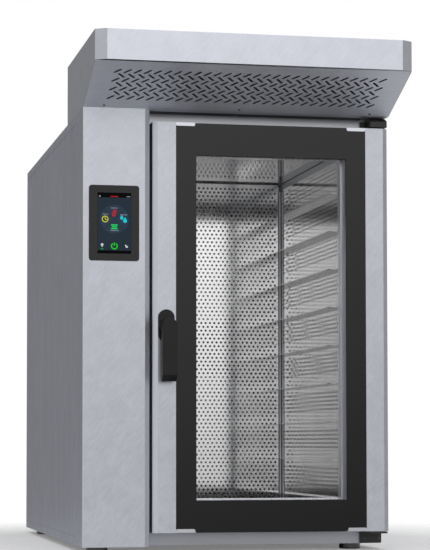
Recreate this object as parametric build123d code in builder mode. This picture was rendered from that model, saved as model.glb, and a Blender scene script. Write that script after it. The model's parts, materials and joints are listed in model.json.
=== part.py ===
from build123d import *
from math import atan2, cos, degrees, radians, sin, sqrt
import os

# Pastry convection oven for nine 400 x 600 mm trays, with a control column on
# the left, a full-height glass door hinged on the right and a steam hood.
# Millimetres. +X to the right seen from the front, the door faces -Y, +Z up.
# The origin is at the centre of the footprint, on the surface it stands on.

os.makedirs("parts", exist_ok=True)

# ---------------------------------------------------------------- dimensions
body_w = 805.0          # overall width
body_d = 1225.0         # control fascia to rear panel
body_h = 1113.0         # bottom of the body to the top of the roof panel
foot_h = 15.0           # levelling feet under the body
rear_out = 29.0         # how far the rear fittings stand out of the rear panel
sheet = 1.5             # casing sheet
bend_out, bend_in = 2.5, 1.0    # outer and inner radius of the folds
frame_y = 84.0          # front face of the cavity frame, behind the fascia plane
frame_t = 18.0          # depth of the frame's folded sections
lintel_y = 66.0         # front face of the fold over the door
lintel_z0 = 1086.0

column_w = 172.4        # control column, bevel included
column_flat = 160.0
column_bevel_y = 7.2

door_x0, door_x1 = 181.0, 805.0
door_z0, door_z1 = 34.0, 1083.0
door_y0, door_y1 = 10.0, 78.0       # front face and rear face of the door
bevel_x, bevel_y = 13.0, 7.5        # bevelled outer edges of the stiles
glass_x0, glass_x1 = 241.7, 744.6   # outer glass
glass_z0, glass_z1 = 36.0, 1082.0
win_x0, win_x1 = 295.0, 692.5       # clear window inside the black border
win_z0, win_z1 = 116.0, 1000.6
ring_in, ring_out = 1003.2, 1010.4  # inner and outer top of the inner glass's frame
glass_y0, glass_t = 11.0, 5.0
border_t = 0.4

hinge_x, hinge_y = 790.0, 45.0      # door hinge axis
hinge_pin_r = 6.0
bush_clear = 0.05

handle_x, handle_z = 216.5, 560.0   # handle pivot
lever_x, lever_w = 218.7, 37.6
lever_z0 = 433.0
lever_y0, lever_y1 = -32.0, -12.0

cav_x0, cav_x1 = 244.0, 742.0       # inside faces of the cavity walls
cav_z0, cav_z1 = 62.0, 1031.0
cav_y0, cav_y1 = 102.0, 880.0
rack_x0, rack_x1 = 287.0, 699.0     # tray-side faces of the rack panels
rack_y0, rack_y1 = 104.0, 728.0
rack_z1 = 1010.0
strip_z0, strip_z1 = 1004.0, 1028.6      # closing strip between rack panel and ceiling
rack_mid = (rack_x0 + rack_x1) / 2
rail_out = 26.0
rail_t = 2.0
rail_pitch = 100.93
rail_z0 = 117.7
rail_count = 9
diffuser_y = 729.0

hood_front = -214.0
hood_back = 289.0
lip_z0 = 1194.0
hood_z1 = 1270.0
hood_cham_x, hood_cham_y = 28.4, 16.4
collar_h = 40.0
collar_r = 75.0
hood_fan_x, hood_fan_y = 402.5, 150.0

fan_x = rack_mid
fan_z_low, fan_z_high = 303.0, 790.0
impeller_r = 165.0
shaft_r = 9.5
shaft_clear = 0.05

vent_x, vent_y = 640.0, 200.0
vent_ro, vent_ri = 30.0, 28.0

bezel_x0, bezel_x1 = 15.4, 144.5
bezel_z0, bezel_z1 = 723.0, 915.0
screen_x0, screen_x1 = 37.2, 123.7
screen_z0, screen_z1 = 741.0, 896.0

# Pressed seams along the side panels, near the top and bottom edges
seam_z = (23.0, 1089.5)
seam_y0, seam_y1 = 109.0, 1205.0
seam_w, seam_deep = 1.8, 0.9

feet_xy = [(43.0, 45.0), (730.0, 120.0), (43.0, 1075.0), (730.0, 1075.0)]
foot_r = 28.0

# Row-frame position of the body's front left bottom corner (the fascia plane)
X0 = -body_w / 2
Y0 = -(hood_front + body_d + rear_out) / 2
Z0 = foot_h


# Underside of the slanted hood plate: local x to the right, local y forward and up
hood_y1 = hood_front + hood_cham_y
intake_slot_l, intake_slot_w = 25.0, 5.9  # herringbone slots of the hood's intake plate
slant = atan2(lip_z0 - body_h, -hood_y1)
plate_plane = Plane(origin=(X0, Y0, Z0 + body_h), x_dir=(1, 0, 0),
                    z_dir=(0, -sin(slant), -cos(slant)))


def block(x0, x1, y0, y1, z0, z1, mode=Mode.ADD):
    """A box between two corners, given from the body's front left bottom corner."""
    with Locations((X0 + x0, Y0 + y0, Z0 + z0)):
        Box(x1 - x0, y1 - y0, z1 - z0, align=(Align.MIN, Align.MIN, Align.MIN), mode=mode)


def rod_y(x, z, r, y0, y1, mode=Mode.ADD):
    """A cylinder along Y."""
    with Locations(Location((X0 + x, Y0 + y0, Z0 + z), (-90, 0, 0))):
        Cylinder(r, y1 - y0, align=(Align.CENTER, Align.CENTER, Align.MIN), mode=mode)


def rod_z(x, y, r, z0, z1, mode=Mode.ADD):
    """A cylinder along Z."""
    with Locations((X0 + x, Y0 + y, Z0 + z0)):
        Cylinder(r, z1 - z0, align=(Align.CENTER, Align.CENTER, Align.MIN), mode=mode)


def rod_x(y, z, r, x0, x1, mode=Mode.ADD):
    """A cylinder along X."""
    with Locations(Location((X0 + x0, Y0 + y, Z0 + z), (0, 90, 0))):
        Cylinder(r, x1 - x0, align=(Align.CENTER, Align.CENTER, Align.MIN), mode=mode)


def xy(*points):
    """Points in a horizontal plane, from the body's corner."""
    return [(X0 + px, Y0 + py) for px, py in points]


def yz(*points):
    """Points in a plane across X, from the body's corner."""
    return [(Y0 + py, Z0 + pz) for py, pz in points]


def xz(*points):
    """Points in a plane across Y, from the body's corner."""
    return [(X0 + px, Z0 + pz) for px, pz in points]


def level(z):
    """Horizontal sketch plane at a height."""
    return Plane.XY.offset(Z0 + z)


def across_x(x):
    """Sketch plane facing +X."""
    return Plane.YZ.offset(X0 + x)


def across_y(y):
    """Sketch plane facing -Y."""
    return Plane.XZ.offset(-(Y0 + y))


# Screws: M5 button heads on the rear panel, the hinge brackets and the hood plate
rear_screws = [(12.0, 60.0), (12.0, 556.0), (12.0, 1050.0), (402.5, 12.0),
               (402.5, 1100.0), (793.0, 60.0), (793.0, 556.0), (793.0, 1050.0)]
top_bracket_screws = [(751.5, 1101.5), (754.5, 1091.8)]
low_bracket_screws = [(757.0, 12.0), (797.0, 12.0)]
hood_screws = [(52.0, -12.0), (402.5, -12.0), (750.0, -12.0)]
hood_small_screws = [(139.0, -155.6), (308.0, -155.6)]
screw_r, head_r, head_h = 2.5, 4.6, 2.4
hood_head_r = 3.3

# ------------------------------------------------------------------- casing
# Base pan: bottom plate with an upstand at the front and rear, bored for the feet
with BuildPart() as base_pan:
    with BuildSketch(level(0)):
        with BuildLine():
            Polyline(*xy((1.5, 1.5), (159, 1.5), (170.9, 8.4), (170.9, 102), (803.5, 102),
                         (803.5, 1223.5), (1.5, 1223.5)), close=True)
        make_face()
    extrude(amount=2.0)
    block(170.9, 803.5, 102, 104, 2, 27)
    block(20, 785, 1222, 1223.5, 2, 27)
    rod_y(fan_x, 28, 20.5, 1220, 1225, mode=Mode.SUBTRACT)
    rod_y(402.5, 12, screw_r + 0.1, 1220, 1225, mode=Mode.SUBTRACT)
    for fx, fy in feet_xy:
        rod_z(fx, fy, 6.1, -1, 3, mode=Mode.SUBTRACT)

# Left side panel: one sheet with folded flanges at the top and rear
with BuildPart() as left_side_panel:
    block(0, sheet, 60, 1223.5, 0, 1111)
    block(sheet, 16, 60, 1223.5, 1109.5, 1111)
    block(sheet, 20, 1222, 1223.5, 27, 1109.5)
    for gz in seam_z:
        block(-1, seam_deep, seam_y0, seam_y1, gz - seam_w / 2, gz + seam_w / 2, mode=Mode.SUBTRACT)
    for sx, sz in rear_screws:
        rod_y(sx, sz, screw_r + 0.1, 1220, 1224, mode=Mode.SUBTRACT)

# Right side panel, behind the door's hinge edge
with BuildPart() as right_side_panel:
    block(803.5, 805, frame_y, 1223.5, 0, 1111)
    block(789, 803.5, 104, 1223.5, 1109.5, 1111)
    block(785, 803.5, 1222, 1223.5, 27, 1109.5)
    for gz in seam_z:
        block(805 - seam_deep, 806, seam_y0, seam_y1, gz - seam_w / 2, gz + seam_w / 2, mode=Mode.SUBTRACT)
    for sx, sz in rear_screws:
        rod_y(sx, sz, screw_r + 0.1, 1220, 1224, mode=Mode.SUBTRACT)

# Rear panel with louvre slots for the motors and the column fan, and fittings
with BuildPart() as rear_panel:
    block(0, 805, 1223.5, 1225, 0, 1111)
    with BuildSketch(across_y(1225)):
        for cz in (fan_z_low, fan_z_high):
            with Locations((X0 + fan_x, Z0 + cz)):
                with GridLocations(130, 24, 2, 7):
                    SlotOverall(110, 8)
        with Locations((X0 + 90, Z0 + 120)):
            with GridLocations(1, 16, 1, 6):
                SlotOverall(100, 8)
    extrude(amount=3, mode=Mode.SUBTRACT)
    rod_y(90, 260, 14.0, 1220, 1230, mode=Mode.SUBTRACT)
    rod_y(90, 400, 14.0, 1220, 1230, mode=Mode.SUBTRACT)
    rod_y(493, 28, 20.5, 1220, 1230, mode=Mode.SUBTRACT)
    for sx, sz in rear_screws:
        rod_y(sx, sz, screw_r + 0.1, 1220, 1230, mode=Mode.SUBTRACT)

# Roof panel: folded down in front as a lintel over the door, and set into the top of the column
with BuildPart() as roof_panel:
    block(0, 805, 84.1, 1225, 1111, 1113)
    block(172.5, 805, lintel_y, 84.1, 1111, 1113)
    block(172.5, 805, lintel_y, lintel_y + sheet, lintel_z0, 1111)
    block(172.5, 805, lintel_y, frame_y, lintel_z0, lintel_z0 + sheet)
    block(1.6, 170.8, 9.5, 84.1, 1111, 1113)
    block(1.6, 158.9, 1.6, 9.5, 1111, 1113)
    block(0, 1.6, 60.1, 84.1, 1111, 1113)
    block(20, 785, 1222, 1223.5, 1088, 1111)
    rod_y(402.5, 1100, screw_r + 0.1, 1220, 1224, mode=Mode.SUBTRACT)
    rod_z(vent_x, vent_y, vent_ro + 0.5, 1105, 1120, mode=Mode.SUBTRACT)

# Control fascia: folded channel with a bevelled inner edge and the display cut-out
with BuildPart() as column_front:
    with BuildSketch(level(0)):
        with BuildLine():
            outside = FilletPolyline(*xy((0, 60), (0, 0), (column_flat, 0), (column_w, column_bevel_y),
                                         (column_w, frame_y)), radius=bend_out)
            inside = FilletPolyline(*xy((sheet, 60), (sheet, sheet), (column_flat - 0.4, sheet),
                                        (column_w - sheet, column_bevel_y + 0.87),
                                        (column_w - sheet, frame_y)), radius=bend_in)
            Line(outside @ 0, inside @ 0)
            Line(outside @ 1, inside @ 1)
        make_face()
    extrude(amount=body_h)
    block(22, 138, -1, 5, 733, 905, mode=Mode.SUBTRACT)

# Cavity frame: folded sections with the back left open
with BuildPart() as front_rails:
    for z0, z1 in ((1029, 1111), (0, 64)):
        block(171, 803.5, frame_y, frame_y + frame_t, z0, z1)
        block(172.5, 802, frame_y + sheet, frame_y + frame_t + 1, z0 + sheet, z1 - sheet, mode=Mode.SUBTRACT)

with BuildPart() as front_posts:
    for x0, x1 in ((171, 285), (701, 803.5)):
        block(x0, x1, frame_y, frame_y + frame_t, 64, 1029)
        block(x0 + sheet, x1 - sheet, frame_y + sheet, frame_y + frame_t + 1, 65.5, 1027.5, mode=Mode.SUBTRACT)

# Sheet that divides the control column from the hot side
with BuildPart() as column_divider:
    block(181, 182.5, frame_y + frame_t + 2, 940, 2, 1109)

# ------------------------------------------------------------------- cavity
with BuildPart() as cavity_ceiling:
    block(cav_x0 - sheet, cav_x1 + sheet, cav_y0, cav_y1 + sheet, cav_z1, cav_z1 + sheet)
    rod_z(vent_x, vent_y, vent_ri, 1025, 1040, mode=Mode.SUBTRACT)
    rod_z(fan_x, 180, 30.2, 1025, 1040, mode=Mode.SUBTRACT)

with BuildPart() as cavity_floor:
    block(cav_x0 - sheet, cav_x1 + sheet, cav_y0, cav_y1 + sheet, cav_z0 - sheet, cav_z0)
    rod_z(fan_x, 500, 17, 55, 70, mode=Mode.SUBTRACT)

with BuildPart() as cavity_wall_left:
    block(cav_x0 - sheet, cav_x0, cav_y0, cav_y1 + sheet, cav_z0, cav_z1)

with BuildPart() as cavity_wall_right:
    block(cav_x1, cav_x1 + sheet, cav_y0, cav_y1 + sheet, cav_z0, cav_z1)

heater_r, heater_tube = 200.0, 5.0
terminal_dx = sqrt(heater_r**2 - 12.0**2)

# Rear cavity wall, bored for the two fan shafts, the heater ends and the steam pipe
with BuildPart() as cavity_wall_rear:
    block(cav_x0, cav_x1, cav_y1, cav_y1 + sheet, cav_z0, cav_z1)
    for cz in (fan_z_low, fan_z_high):
        rod_y(fan_x, cz, 25, 870, 890, mode=Mode.SUBTRACT)
        for dz in (-12, 12):
            rod_y(fan_x - terminal_dx, cz + dz, 4.5, 870, 890, mode=Mode.SUBTRACT)
    rod_y(308, fan_z_high, 4.5, 870, 890, mode=Mode.SUBTRACT)

# Rack panel: carries the tray rails and closes the side air duct at the front, with a
# narrow inward flange at the rear and a strip behind its top edge that reaches to the ceiling
with BuildPart() as rack_panel_right:
    with BuildSketch(level(64)):
        with BuildLine():
            Polyline(*xy((693.5, 726.5), (rack_x1, 726.5), (rack_x1, rack_y0), (cav_x1, rack_y0),
                         (cav_x1, rack_y0 + sheet), (rack_x1 + sheet, rack_y0 + sheet),
                         (rack_x1 + sheet, rack_y1), (693.5, rack_y1)), close=True)
        make_face()
    extrude(amount=rack_z1 - 64)
    block(rack_x1 + sheet, rack_x1 + 2 * sheet, rack_y0 + sheet, rack_y1, strip_z0, strip_z1)

with BuildPart() as rack_panel_left:
    with BuildSketch(level(64)):
        with BuildLine():
            Polyline(*xy((292.5, 726.5), (rack_x0, 726.5), (rack_x0, rack_y0), (cav_x0, rack_y0),
                         (cav_x0, rack_y0 + sheet), (rack_x0 - sheet, rack_y0 + sheet),
                         (rack_x0 - sheet, rack_y1), (292.5, rack_y1)), close=True)
        make_face()
    extrude(amount=rack_z1 - 64)
    block(rack_x0 - 2 * sheet, rack_x0 - sheet, rack_y0 + sheet, rack_y1, strip_z0, strip_z1)

# Tray rails: nine ledges a side, each with a rounded lead-in at the front
with BuildPart() as tray_rails:
    for i in range(rail_count):
        with BuildSketch(level(rail_z0 + i * rail_pitch - rail_t)):
            with BuildLine():
                rail_edge = Polyline(*xy((rack_x1, 108), (rack_x1, 724), (rack_x1 - rail_out, 724),
                                         (rack_x1 - rail_out, 132)))
                RadiusArc(rail_edge @ 1, rail_edge @ 0, -sqrt(24.0**2 + 26.0**2) / 2 * 1.42)
            make_face()
        extrude(amount=rail_t)
    mirror(about=Plane.YZ.offset(X0 + rack_mid))

# Rear diffuser plate in front of the fans
with BuildPart() as diffuser_panel:
    block(294.5, 691.5, diffuser_y, diffuser_y + sheet, 66, 1028)

# Mineral-wool slabs round the cavity: left, right, top, bottom, rear
with BuildPart() as insulation_slabs:
    block(182.5, cav_x0 - sheet, 112, 878, cav_z0, cav_z1)
    block(cav_x1 + sheet, 802, 112, 878, cav_z0, cav_z1)
    block(182.5, 802, 112, 938, cav_z1 + 3, 1109)
    block(182.5, 802, 112, 938, 5, cav_z0 - 3)
    block(cav_x0, cav_x1, cav_y1 + sheet + 1, 938, cav_z0, cav_z1)
    rod_z(vent_x, vent_y, vent_ro + 1, 1032, 1112, mode=Mode.SUBTRACT)
    rod_z(fan_x, 180, 34, 1032, 1112, mode=Mode.SUBTRACT)
    block(470, 516, 476, 940, 3, 60, mode=Mode.SUBTRACT)
    for cz in (fan_z_low, fan_z_high):
        rod_y(fan_x, cz, 25, 878, 940, mode=Mode.SUBTRACT)
        for dz in (-12, 12):
            rod_y(fan_x - terminal_dx, cz + dz, 8, 878, 940, mode=Mode.SUBTRACT)
    rod_y(308, fan_z_high, 5, 878, 940, mode=Mode.SUBTRACT)

# Steel plate that carries the fan motors, behind the rear insulation
with BuildPart() as motor_plate:
    block(181, 803.5, 940, 942, 50, 1109)
    for cz in (fan_z_low, fan_z_high):
        rod_y(fan_x, cz, 25, 938, 944, mode=Mode.SUBTRACT)
    rod_y(308, fan_z_high, 5, 938, 944, mode=Mode.SUBTRACT)

# --------------------------------------------------------- fans and heaters
with BuildPart() as fan_motors:
    for cz in (fan_z_low, fan_z_high):
        rod_y(fan_x, cz, 82, 942, 950)
        rod_y(fan_x, cz, 68, 950, 1090)
        rod_y(fan_x, cz, 70, 1090, 1128)
        block(fan_x - 40, fan_x + 40, 980, 1060, cz + 60, cz + 96)
        with BuildSketch(across_y(1090)):
            with Locations((X0 + fan_x, Z0 + cz)):
                with PolarLocations(70, 24):
                    Rectangle(9, 3)
        extrude(amount=130)
        rod_y(fan_x, cz, shaft_r + shaft_clear, 930, 1030, mode=Mode.SUBTRACT)


def impeller(cz):
    """Radial impeller with a backplate, 24 blades, a shroud ring, a hub and its shaft."""
    with BuildPart() as wheel:
        rod_y(fan_x, cz, impeller_r, 864, 866.5)
        rod_y(fan_x, cz, 26, 812, 866.5)
        rod_y(fan_x, cz, shaft_r, 866, 1020)
        with BuildSketch(across_y(864)):
            with Locations((X0 + fan_x, Z0 + cz)):
                with PolarLocations(140, 24):
                    Rectangle(46, 2.2, rotation=24)
        extrude(amount=62)
        with BuildSketch(across_y(804)):
            with Locations((X0 + fan_x, Z0 + cz)):
                Circle(impeller_r)
                Circle(impeller_r - 46, mode=Mode.SUBTRACT)
        extrude(amount=2.5)
    return wheel


impeller_upper = impeller(fan_z_high)
impeller_lower = impeller(fan_z_low)

# Ring heaters: three tubular turns joined by two bars, with two ends out of the rear wall
with BuildPart() as heater_rings:
    for cz in (fan_z_low, fan_z_high):
        for hy in (806, 830, 854):
            with Locations(Location((X0 + fan_x, Y0 + hy, Z0 + cz), (90, 0, 0))):
                Torus(heater_r, heater_tube)
        with BuildSketch(across_y(800)):
            with Locations((X0 + fan_x, Z0 + cz)):
                with PolarLocations(heater_r, 3, start_angle=60):
                    Rectangle(3, 14)
        extrude(amount=-60)
        for dz in (-12, 12):
            block(fan_x - terminal_dx - 6.5, fan_x - terminal_dx + 6.5, 852, 862, cz + dz - 4.5, cz + dz + 4.5)
            rod_y(fan_x - terminal_dx, cz + dz, 3.8, 862, 930)

# Cavity lamp: glass dome and its lampholder in the ceiling, ahead of the first tray
with BuildPart() as cavity_lamp:
    rod_z(fan_x, 180, 30, 1029, 1066)
    rod_z(fan_x, 180, 36, 1023, 1031)
    fillet(cavity_lamp.edges().filter_by(GeomType.CIRCLE).sort_by(Axis.Z)[0], 5)

# Silicone door gasket round the cavity opening
with BuildPart() as door_gasket:
    with BuildSketch(across_y(frame_y)):
        with Locations((X0 + 493, Z0 + 547.5)):
            RectangleRounded(462, 1011, 22)
            RectangleRounded(434, 983, 12, mode=Mode.SUBTRACT)
    extrude(amount=5.4)

# ----------------------------------------------------------- control column
with BuildPart() as touch_bezel:
    with BuildSketch(across_y(0)):
        with Locations((X0 + (bezel_x0 + bezel_x1) / 2, Z0 + (bezel_z0 + bezel_z1) / 2)):
            RectangleRounded(bezel_x1 - bezel_x0, bezel_z1 - bezel_z0, 7.5)
        with Locations((X0 + (screen_x0 + screen_x1) / 2, Z0 + (screen_z0 + screen_z1) / 2)):
            Rectangle(screen_x1 - screen_x0, screen_z1 - screen_z0, mode=Mode.SUBTRACT)
    extrude(amount=2.0)
    chamfer(touch_bezel.faces().sort_by(Axis.Y)[0].outer_wire().edges(), 0.7)

with BuildPart() as touch_display:
    block(screen_x0, screen_x1, -1.5, 3.0, screen_z0, screen_z1)

with BuildPart() as controller_box:
    block(24, 136, 3.0, 42, 735, 903)
    chamfer(controller_box.faces().sort_by(Axis.Y)[-1].edges(), 3)

# Power board: plate on the divider with a row of contactors, a transformer and a terminal strip
with BuildPart() as power_board:
    block(178, 181, 260, 640, 180, 640)
    for i in range(4):
        block(104, 178, 290 + 50 * i, 336 + 50 * i, 500, 590)
    block(110, 178, 520, 610, 480, 600)
    block(140, 178, 300, 440, 340, 420)
    block(146, 178, 280, 620, 210, 250)

with BuildPart() as column_fan_frame:
    block(30, 150, 1185.5, 1223.5, 60, 180)
    rod_y(90, 120, 56, 1180, 1230, mode=Mode.SUBTRACT)
    rod_y(90, 120, 19, 1186, 1193)
    for ang in (0, 120, 240):
        with BuildSketch(across_y(1193)):
            with Locations(Location((X0 + 90, Z0 + 120, 0), (0, 0, ang))):
                with Locations((37, 0)):
                    Rectangle(42, 5)
        extrude(amount=6)
    rod_y(90, 120, 2.05, 1180, 1200, mode=Mode.SUBTRACT)

with BuildPart() as column_fan_rotor:
    rod_y(90, 120, 20, 1194, 1216)
    rod_y(90, 120, 2.0, 1188, 1195)
    for k in range(7):
        with BuildSketch(Plane(origin=(X0 + 90, Y0 + 1205, Z0 + 120),
                               x_dir=(0, 1, 0),
                               z_dir=(cos(radians(360 / 7 * k)), 0, sin(radians(360 / 7 * k)))).offset(18)):
            Rectangle(20, 2.0, rotation=48)
        extrude(amount=35)

# Cable gland: through body, hexagon and domed nut, bored for the supply cable
with BuildPart() as cable_gland:
    rod_y(90, 260, 13.8, 1205, 1225)
    with BuildSketch(across_y(1225)):
        with Locations((X0 + 90, Z0 + 260)):
            RegularPolygon(18, 6)
    extrude(amount=-9)
    rod_y(90, 260, 15.5, 1234, 1254)
    with BuildSketch(across_y(1214)):
        with Locations((X0 + 90, Z0 + 260)):
            RegularPolygon(18, 6)
            Circle(13.8, mode=Mode.SUBTRACT)
    extrude(amount=-6)
    rod_y(90, 260, 8.0, 1200, 1260, mode=Mode.SUBTRACT)

# Water valve: solenoid body with its inlet nipple through the rear panel
with BuildPart() as water_valve:
    block(66, 114, 1170, 1205, 378, 422)
    rod_y(90, 400, 13.8, 1205, 1225)
    rod_y(90, 400, 13.2, 1225, 1254)
    rod_z(90, 1187, 15, 422, 462)
    rod_y(90, 400, 9.0, 1215, 1260, mode=Mode.SUBTRACT)

# Steam pipe from the valve to the upper fan
with BuildPart() as steam_pipe:
    with BuildLine() as steam_route:
        FilletPolyline((X0 + 114, Y0 + 1187, Z0 + 400), (X0 + 205, Y0 + 1187, Z0 + 400),
                       (X0 + 205, Y0 + 1187, Z0 + fan_z_high), (X0 + 308, Y0 + 1187, Z0 + fan_z_high),
                       (X0 + 308, Y0 + 872, Z0 + fan_z_high), radius=30)
    with BuildSketch(Plane(origin=steam_route.line @ 0, z_dir=steam_route.line % 0)):
        Circle(4.0)
    sweep()

# Drain: from the cavity floor down and out of the rear panel, with a wider hose end
with BuildPart() as drain_pipe:
    rod_z(fan_x, 500, 19, 9, 60.5)
    rod_y(fan_x, 28, 19, 500, 1225)
    rod_y(fan_x, 28, 20, 1225, 1254)
    rod_z(fan_x, 500, 17, 28, 61, mode=Mode.SUBTRACT)
    rod_y(fan_x, 28, 17, 500, 1260, mode=Mode.SUBTRACT)

# Steam vent from the cavity ceiling up into the hood, with holes for the damper shaft
with BuildPart() as vent_pipe:
    rod_z(vent_x, vent_y, vent_ro, cav_z1 + sheet, 1152)
    rod_z(vent_x, vent_y, vent_ri, 1030, 1160, mode=Mode.SUBTRACT)
    rod_x(vent_y, 1130, 4.05, vent_x - 40, vent_x + 40, mode=Mode.SUBTRACT)

with BuildPart() as vent_damper:
    rod_z(vent_x, vent_y, 27.0, 1129, 1131)
    rod_x(vent_y, 1130, 4.0, vent_x - 34, vent_x + 44)
    block(vent_x + 38, vent_x + 42, vent_y - 6, vent_y + 6, 1126, 1148)

# ------------------------------------------------------------ hinge brackets
with BuildPart() as hinge_bracket_top:
    with BuildSketch(across_y(lintel_y)):
        with BuildLine():
            Polyline(*xz((760, 1087), (804, 1087), (804, 1112), (760, 1112)), close=True)
        make_face()
        fillet(vertices().sort_by(Axis.X)[-2:].sort_by(Axis.Y)[-1], 9)
    extrude(amount=lintel_y - 12)
    with BuildSketch(across_x(755)):
        with BuildLine():
            Polyline(*yz((11, 1100.6), (11, 1113), (25.1, 1113)), close=True)
        make_face()
    extrude(amount=60, mode=Mode.SUBTRACT)
    block(746, 760, lintel_y - 6, lintel_y, 1087, 1107)
    rod_z(hinge_x, hinge_y, hinge_pin_r, 1061, 1087)
    for sx, sz in top_bracket_screws:
        rod_y(sx, sz, screw_r + 0.1, 55, 70, mode=Mode.SUBTRACT)

with BuildPart() as hinge_bracket_bottom:
    block(746, 804, frame_y - 6, frame_y, 1, 28)
    fillet(hinge_bracket_bottom.edges().filter_by(Axis.Y).sort_by(Axis.X)[-2:].sort_by(Axis.Z)[0], 4)
    block(746, 804, 14, frame_y, 28, 32.4)
    chamfer(hinge_bracket_bottom.edges().filter_by(Axis.Z).sort_by(Axis.Y)[:2], 8)
    rod_z(hinge_x, hinge_y, hinge_pin_r, 32.4, 58)
    for sx, sz in low_bracket_screws:
        rod_y(sx, sz, screw_r + 0.1, 70, 90, mode=Mode.SUBTRACT)

# Latch keeper: base plate on the left post with a headed stud that the hook embraces
keeper_drop = 45.0
with BuildPart() as latch_keeper:
    block(handle_x - 16, handle_x + 16, 81, frame_y, handle_z - keeper_drop - 20, handle_z - keeper_drop + 20)
    rod_y(handle_x, handle_z - keeper_drop, 5.0, 56, 81)
    rod_y(handle_x, handle_z - keeper_drop, 6.5, 52, 56)

# Levelling feet: steel cups with a stem into the base pan
with BuildPart() as feet:
    for fx, fy in feet_xy:
        rod_z(fx, fy, foot_r, -foot_h, 0)
        rod_z(fx, fy, 6.0, 0, 4.5)
    chamfer(feet.faces().filter_by(Plane.XY).group_by(Axis.Z)[0].edges(), 1.5)

# Button-head screws with hexagon sockets
with BuildPart() as panel_screws:
    for sx, sz in rear_screws:
        rod_y(sx, sz, head_r, 1225, 1225 + head_h)
        rod_y(sx, sz, screw_r, 1216, 1225)
        with BuildSketch(across_y(1225 + head_h)):
            with Locations((X0 + sx, Z0 + sz)):
                RegularPolygon(1.9, 6)
        extrude(amount=1.2, mode=Mode.SUBTRACT)
    for sx, sz, fy in [(*p, lintel_y) for p in top_bracket_screws] + [(*p, frame_y) for p in low_bracket_screws]:
        rod_y(sx, sz, head_r, fy - 6 - head_h, fy - 6)
        rod_y(sx, sz, screw_r, fy - 6, fy)
        with BuildSketch(across_y(fy - 6 - head_h)):
            with Locations((X0 + sx, Z0 + sz)):
                RegularPolygon(1.9, 6)
        extrude(amount=-1.2, mode=Mode.SUBTRACT)
    for sx, sy in hood_screws + hood_small_screws:
        with BuildSketch(plate_plane):
            with Locations((sx, -sy / cos(slant))):
                Circle(hood_head_r)
        extrude(amount=head_h)
        with BuildSketch(plate_plane):
            with Locations((sx, -sy / cos(slant))):
                Circle(screw_r)
        extrude(amount=-6)
        with BuildSketch(plate_plane.offset(head_h)):
            with Locations((sx, -sy / cos(slant))):
                RegularPolygon(1.9, 6)
        extrude(amount=-1.2, mode=Mode.SUBTRACT)

# ---------------------------------------------------------------------- hood
with BuildPart() as hood_shell:
    with BuildSketch(level(lip_z0)):
        with BuildLine():
            outside = FilletPolyline(*xy((0, hood_y1 + 8), (0, hood_y1), (hood_cham_x, hood_front),
                                         (body_w - hood_cham_x, hood_front), (body_w, hood_y1),
                                         (body_w, hood_y1 + 8)), radius=bend_out)
            inside = FilletPolyline(*xy((sheet, hood_y1 + 8), (sheet, hood_y1 + 0.87),
                                        (hood_cham_x + 0.4, hood_front + sheet),
                                        (body_w - hood_cham_x - 0.4, hood_front + sheet),
                                        (body_w - sheet, hood_y1 + 0.87), (body_w - sheet, hood_y1 + 8)),
                                    radius=bend_in)
            Line(outside @ 0, inside @ 0)
            Line(outside @ 1, inside @ 1)
        make_face()
    extrude(amount=hood_z1 - lip_z0)
    with BuildSketch(across_x(-1)):
        with BuildLine():
            Polyline(*yz((hood_y1, lip_z0), (hood_y1 + 20, lip_z0), (hood_y1 + 20, lip_z0 - 20 * (lip_z0 - body_h) / -hood_y1)),
                     close=True)
        make_face()
    extrude(amount=body_w + 2, mode=Mode.SUBTRACT)
    with BuildSketch(level(lip_z0)):
        with BuildLine():
            Polyline(*xy((3.0, hood_y1), (hood_cham_x + 0.4, hood_front + sheet),
                         (body_w - hood_cham_x - 0.4, hood_front + sheet), (body_w - 3.0, hood_y1)), close=True)
        make_face()
    extrude(amount=sheet)
    with BuildSketch(level(hood_z1 - sheet)):
        with BuildLine():
            lid = FilletPolyline(*xy((0, hood_back), (0, hood_y1), (hood_cham_x, hood_front),
                                     (body_w - hood_cham_x, hood_front), (body_w, hood_y1),
                                     (body_w, hood_back)), radius=bend_out)
            Line(lid @ 1, lid @ 0)
        make_face()
    extrude(amount=sheet)
    for sx in (0, body_w - sheet):
        with BuildSketch(across_x(sx)):
            with BuildLine():
                Polyline(*yz((hood_y1 + 4, lip_z0 - 4 * (lip_z0 - body_h) / -hood_y1), (hood_y1 + 4, hood_z1),
                             (hood_back, hood_z1), (hood_back, body_h), (0, body_h)), close=True)
            make_face()
        extrude(amount=sheet)
    block(0, body_w, hood_back - sheet, hood_back, body_h, hood_z1)
    rod_z(hood_fan_x, hood_fan_y, collar_r + 0.3, 1260, 1280, mode=Mode.SUBTRACT)
    top_rim = hood_shell.faces().sort_by(Axis.Z)[-1].outer_wire().edges()
    fillet(top_rim, 1.2)

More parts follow.
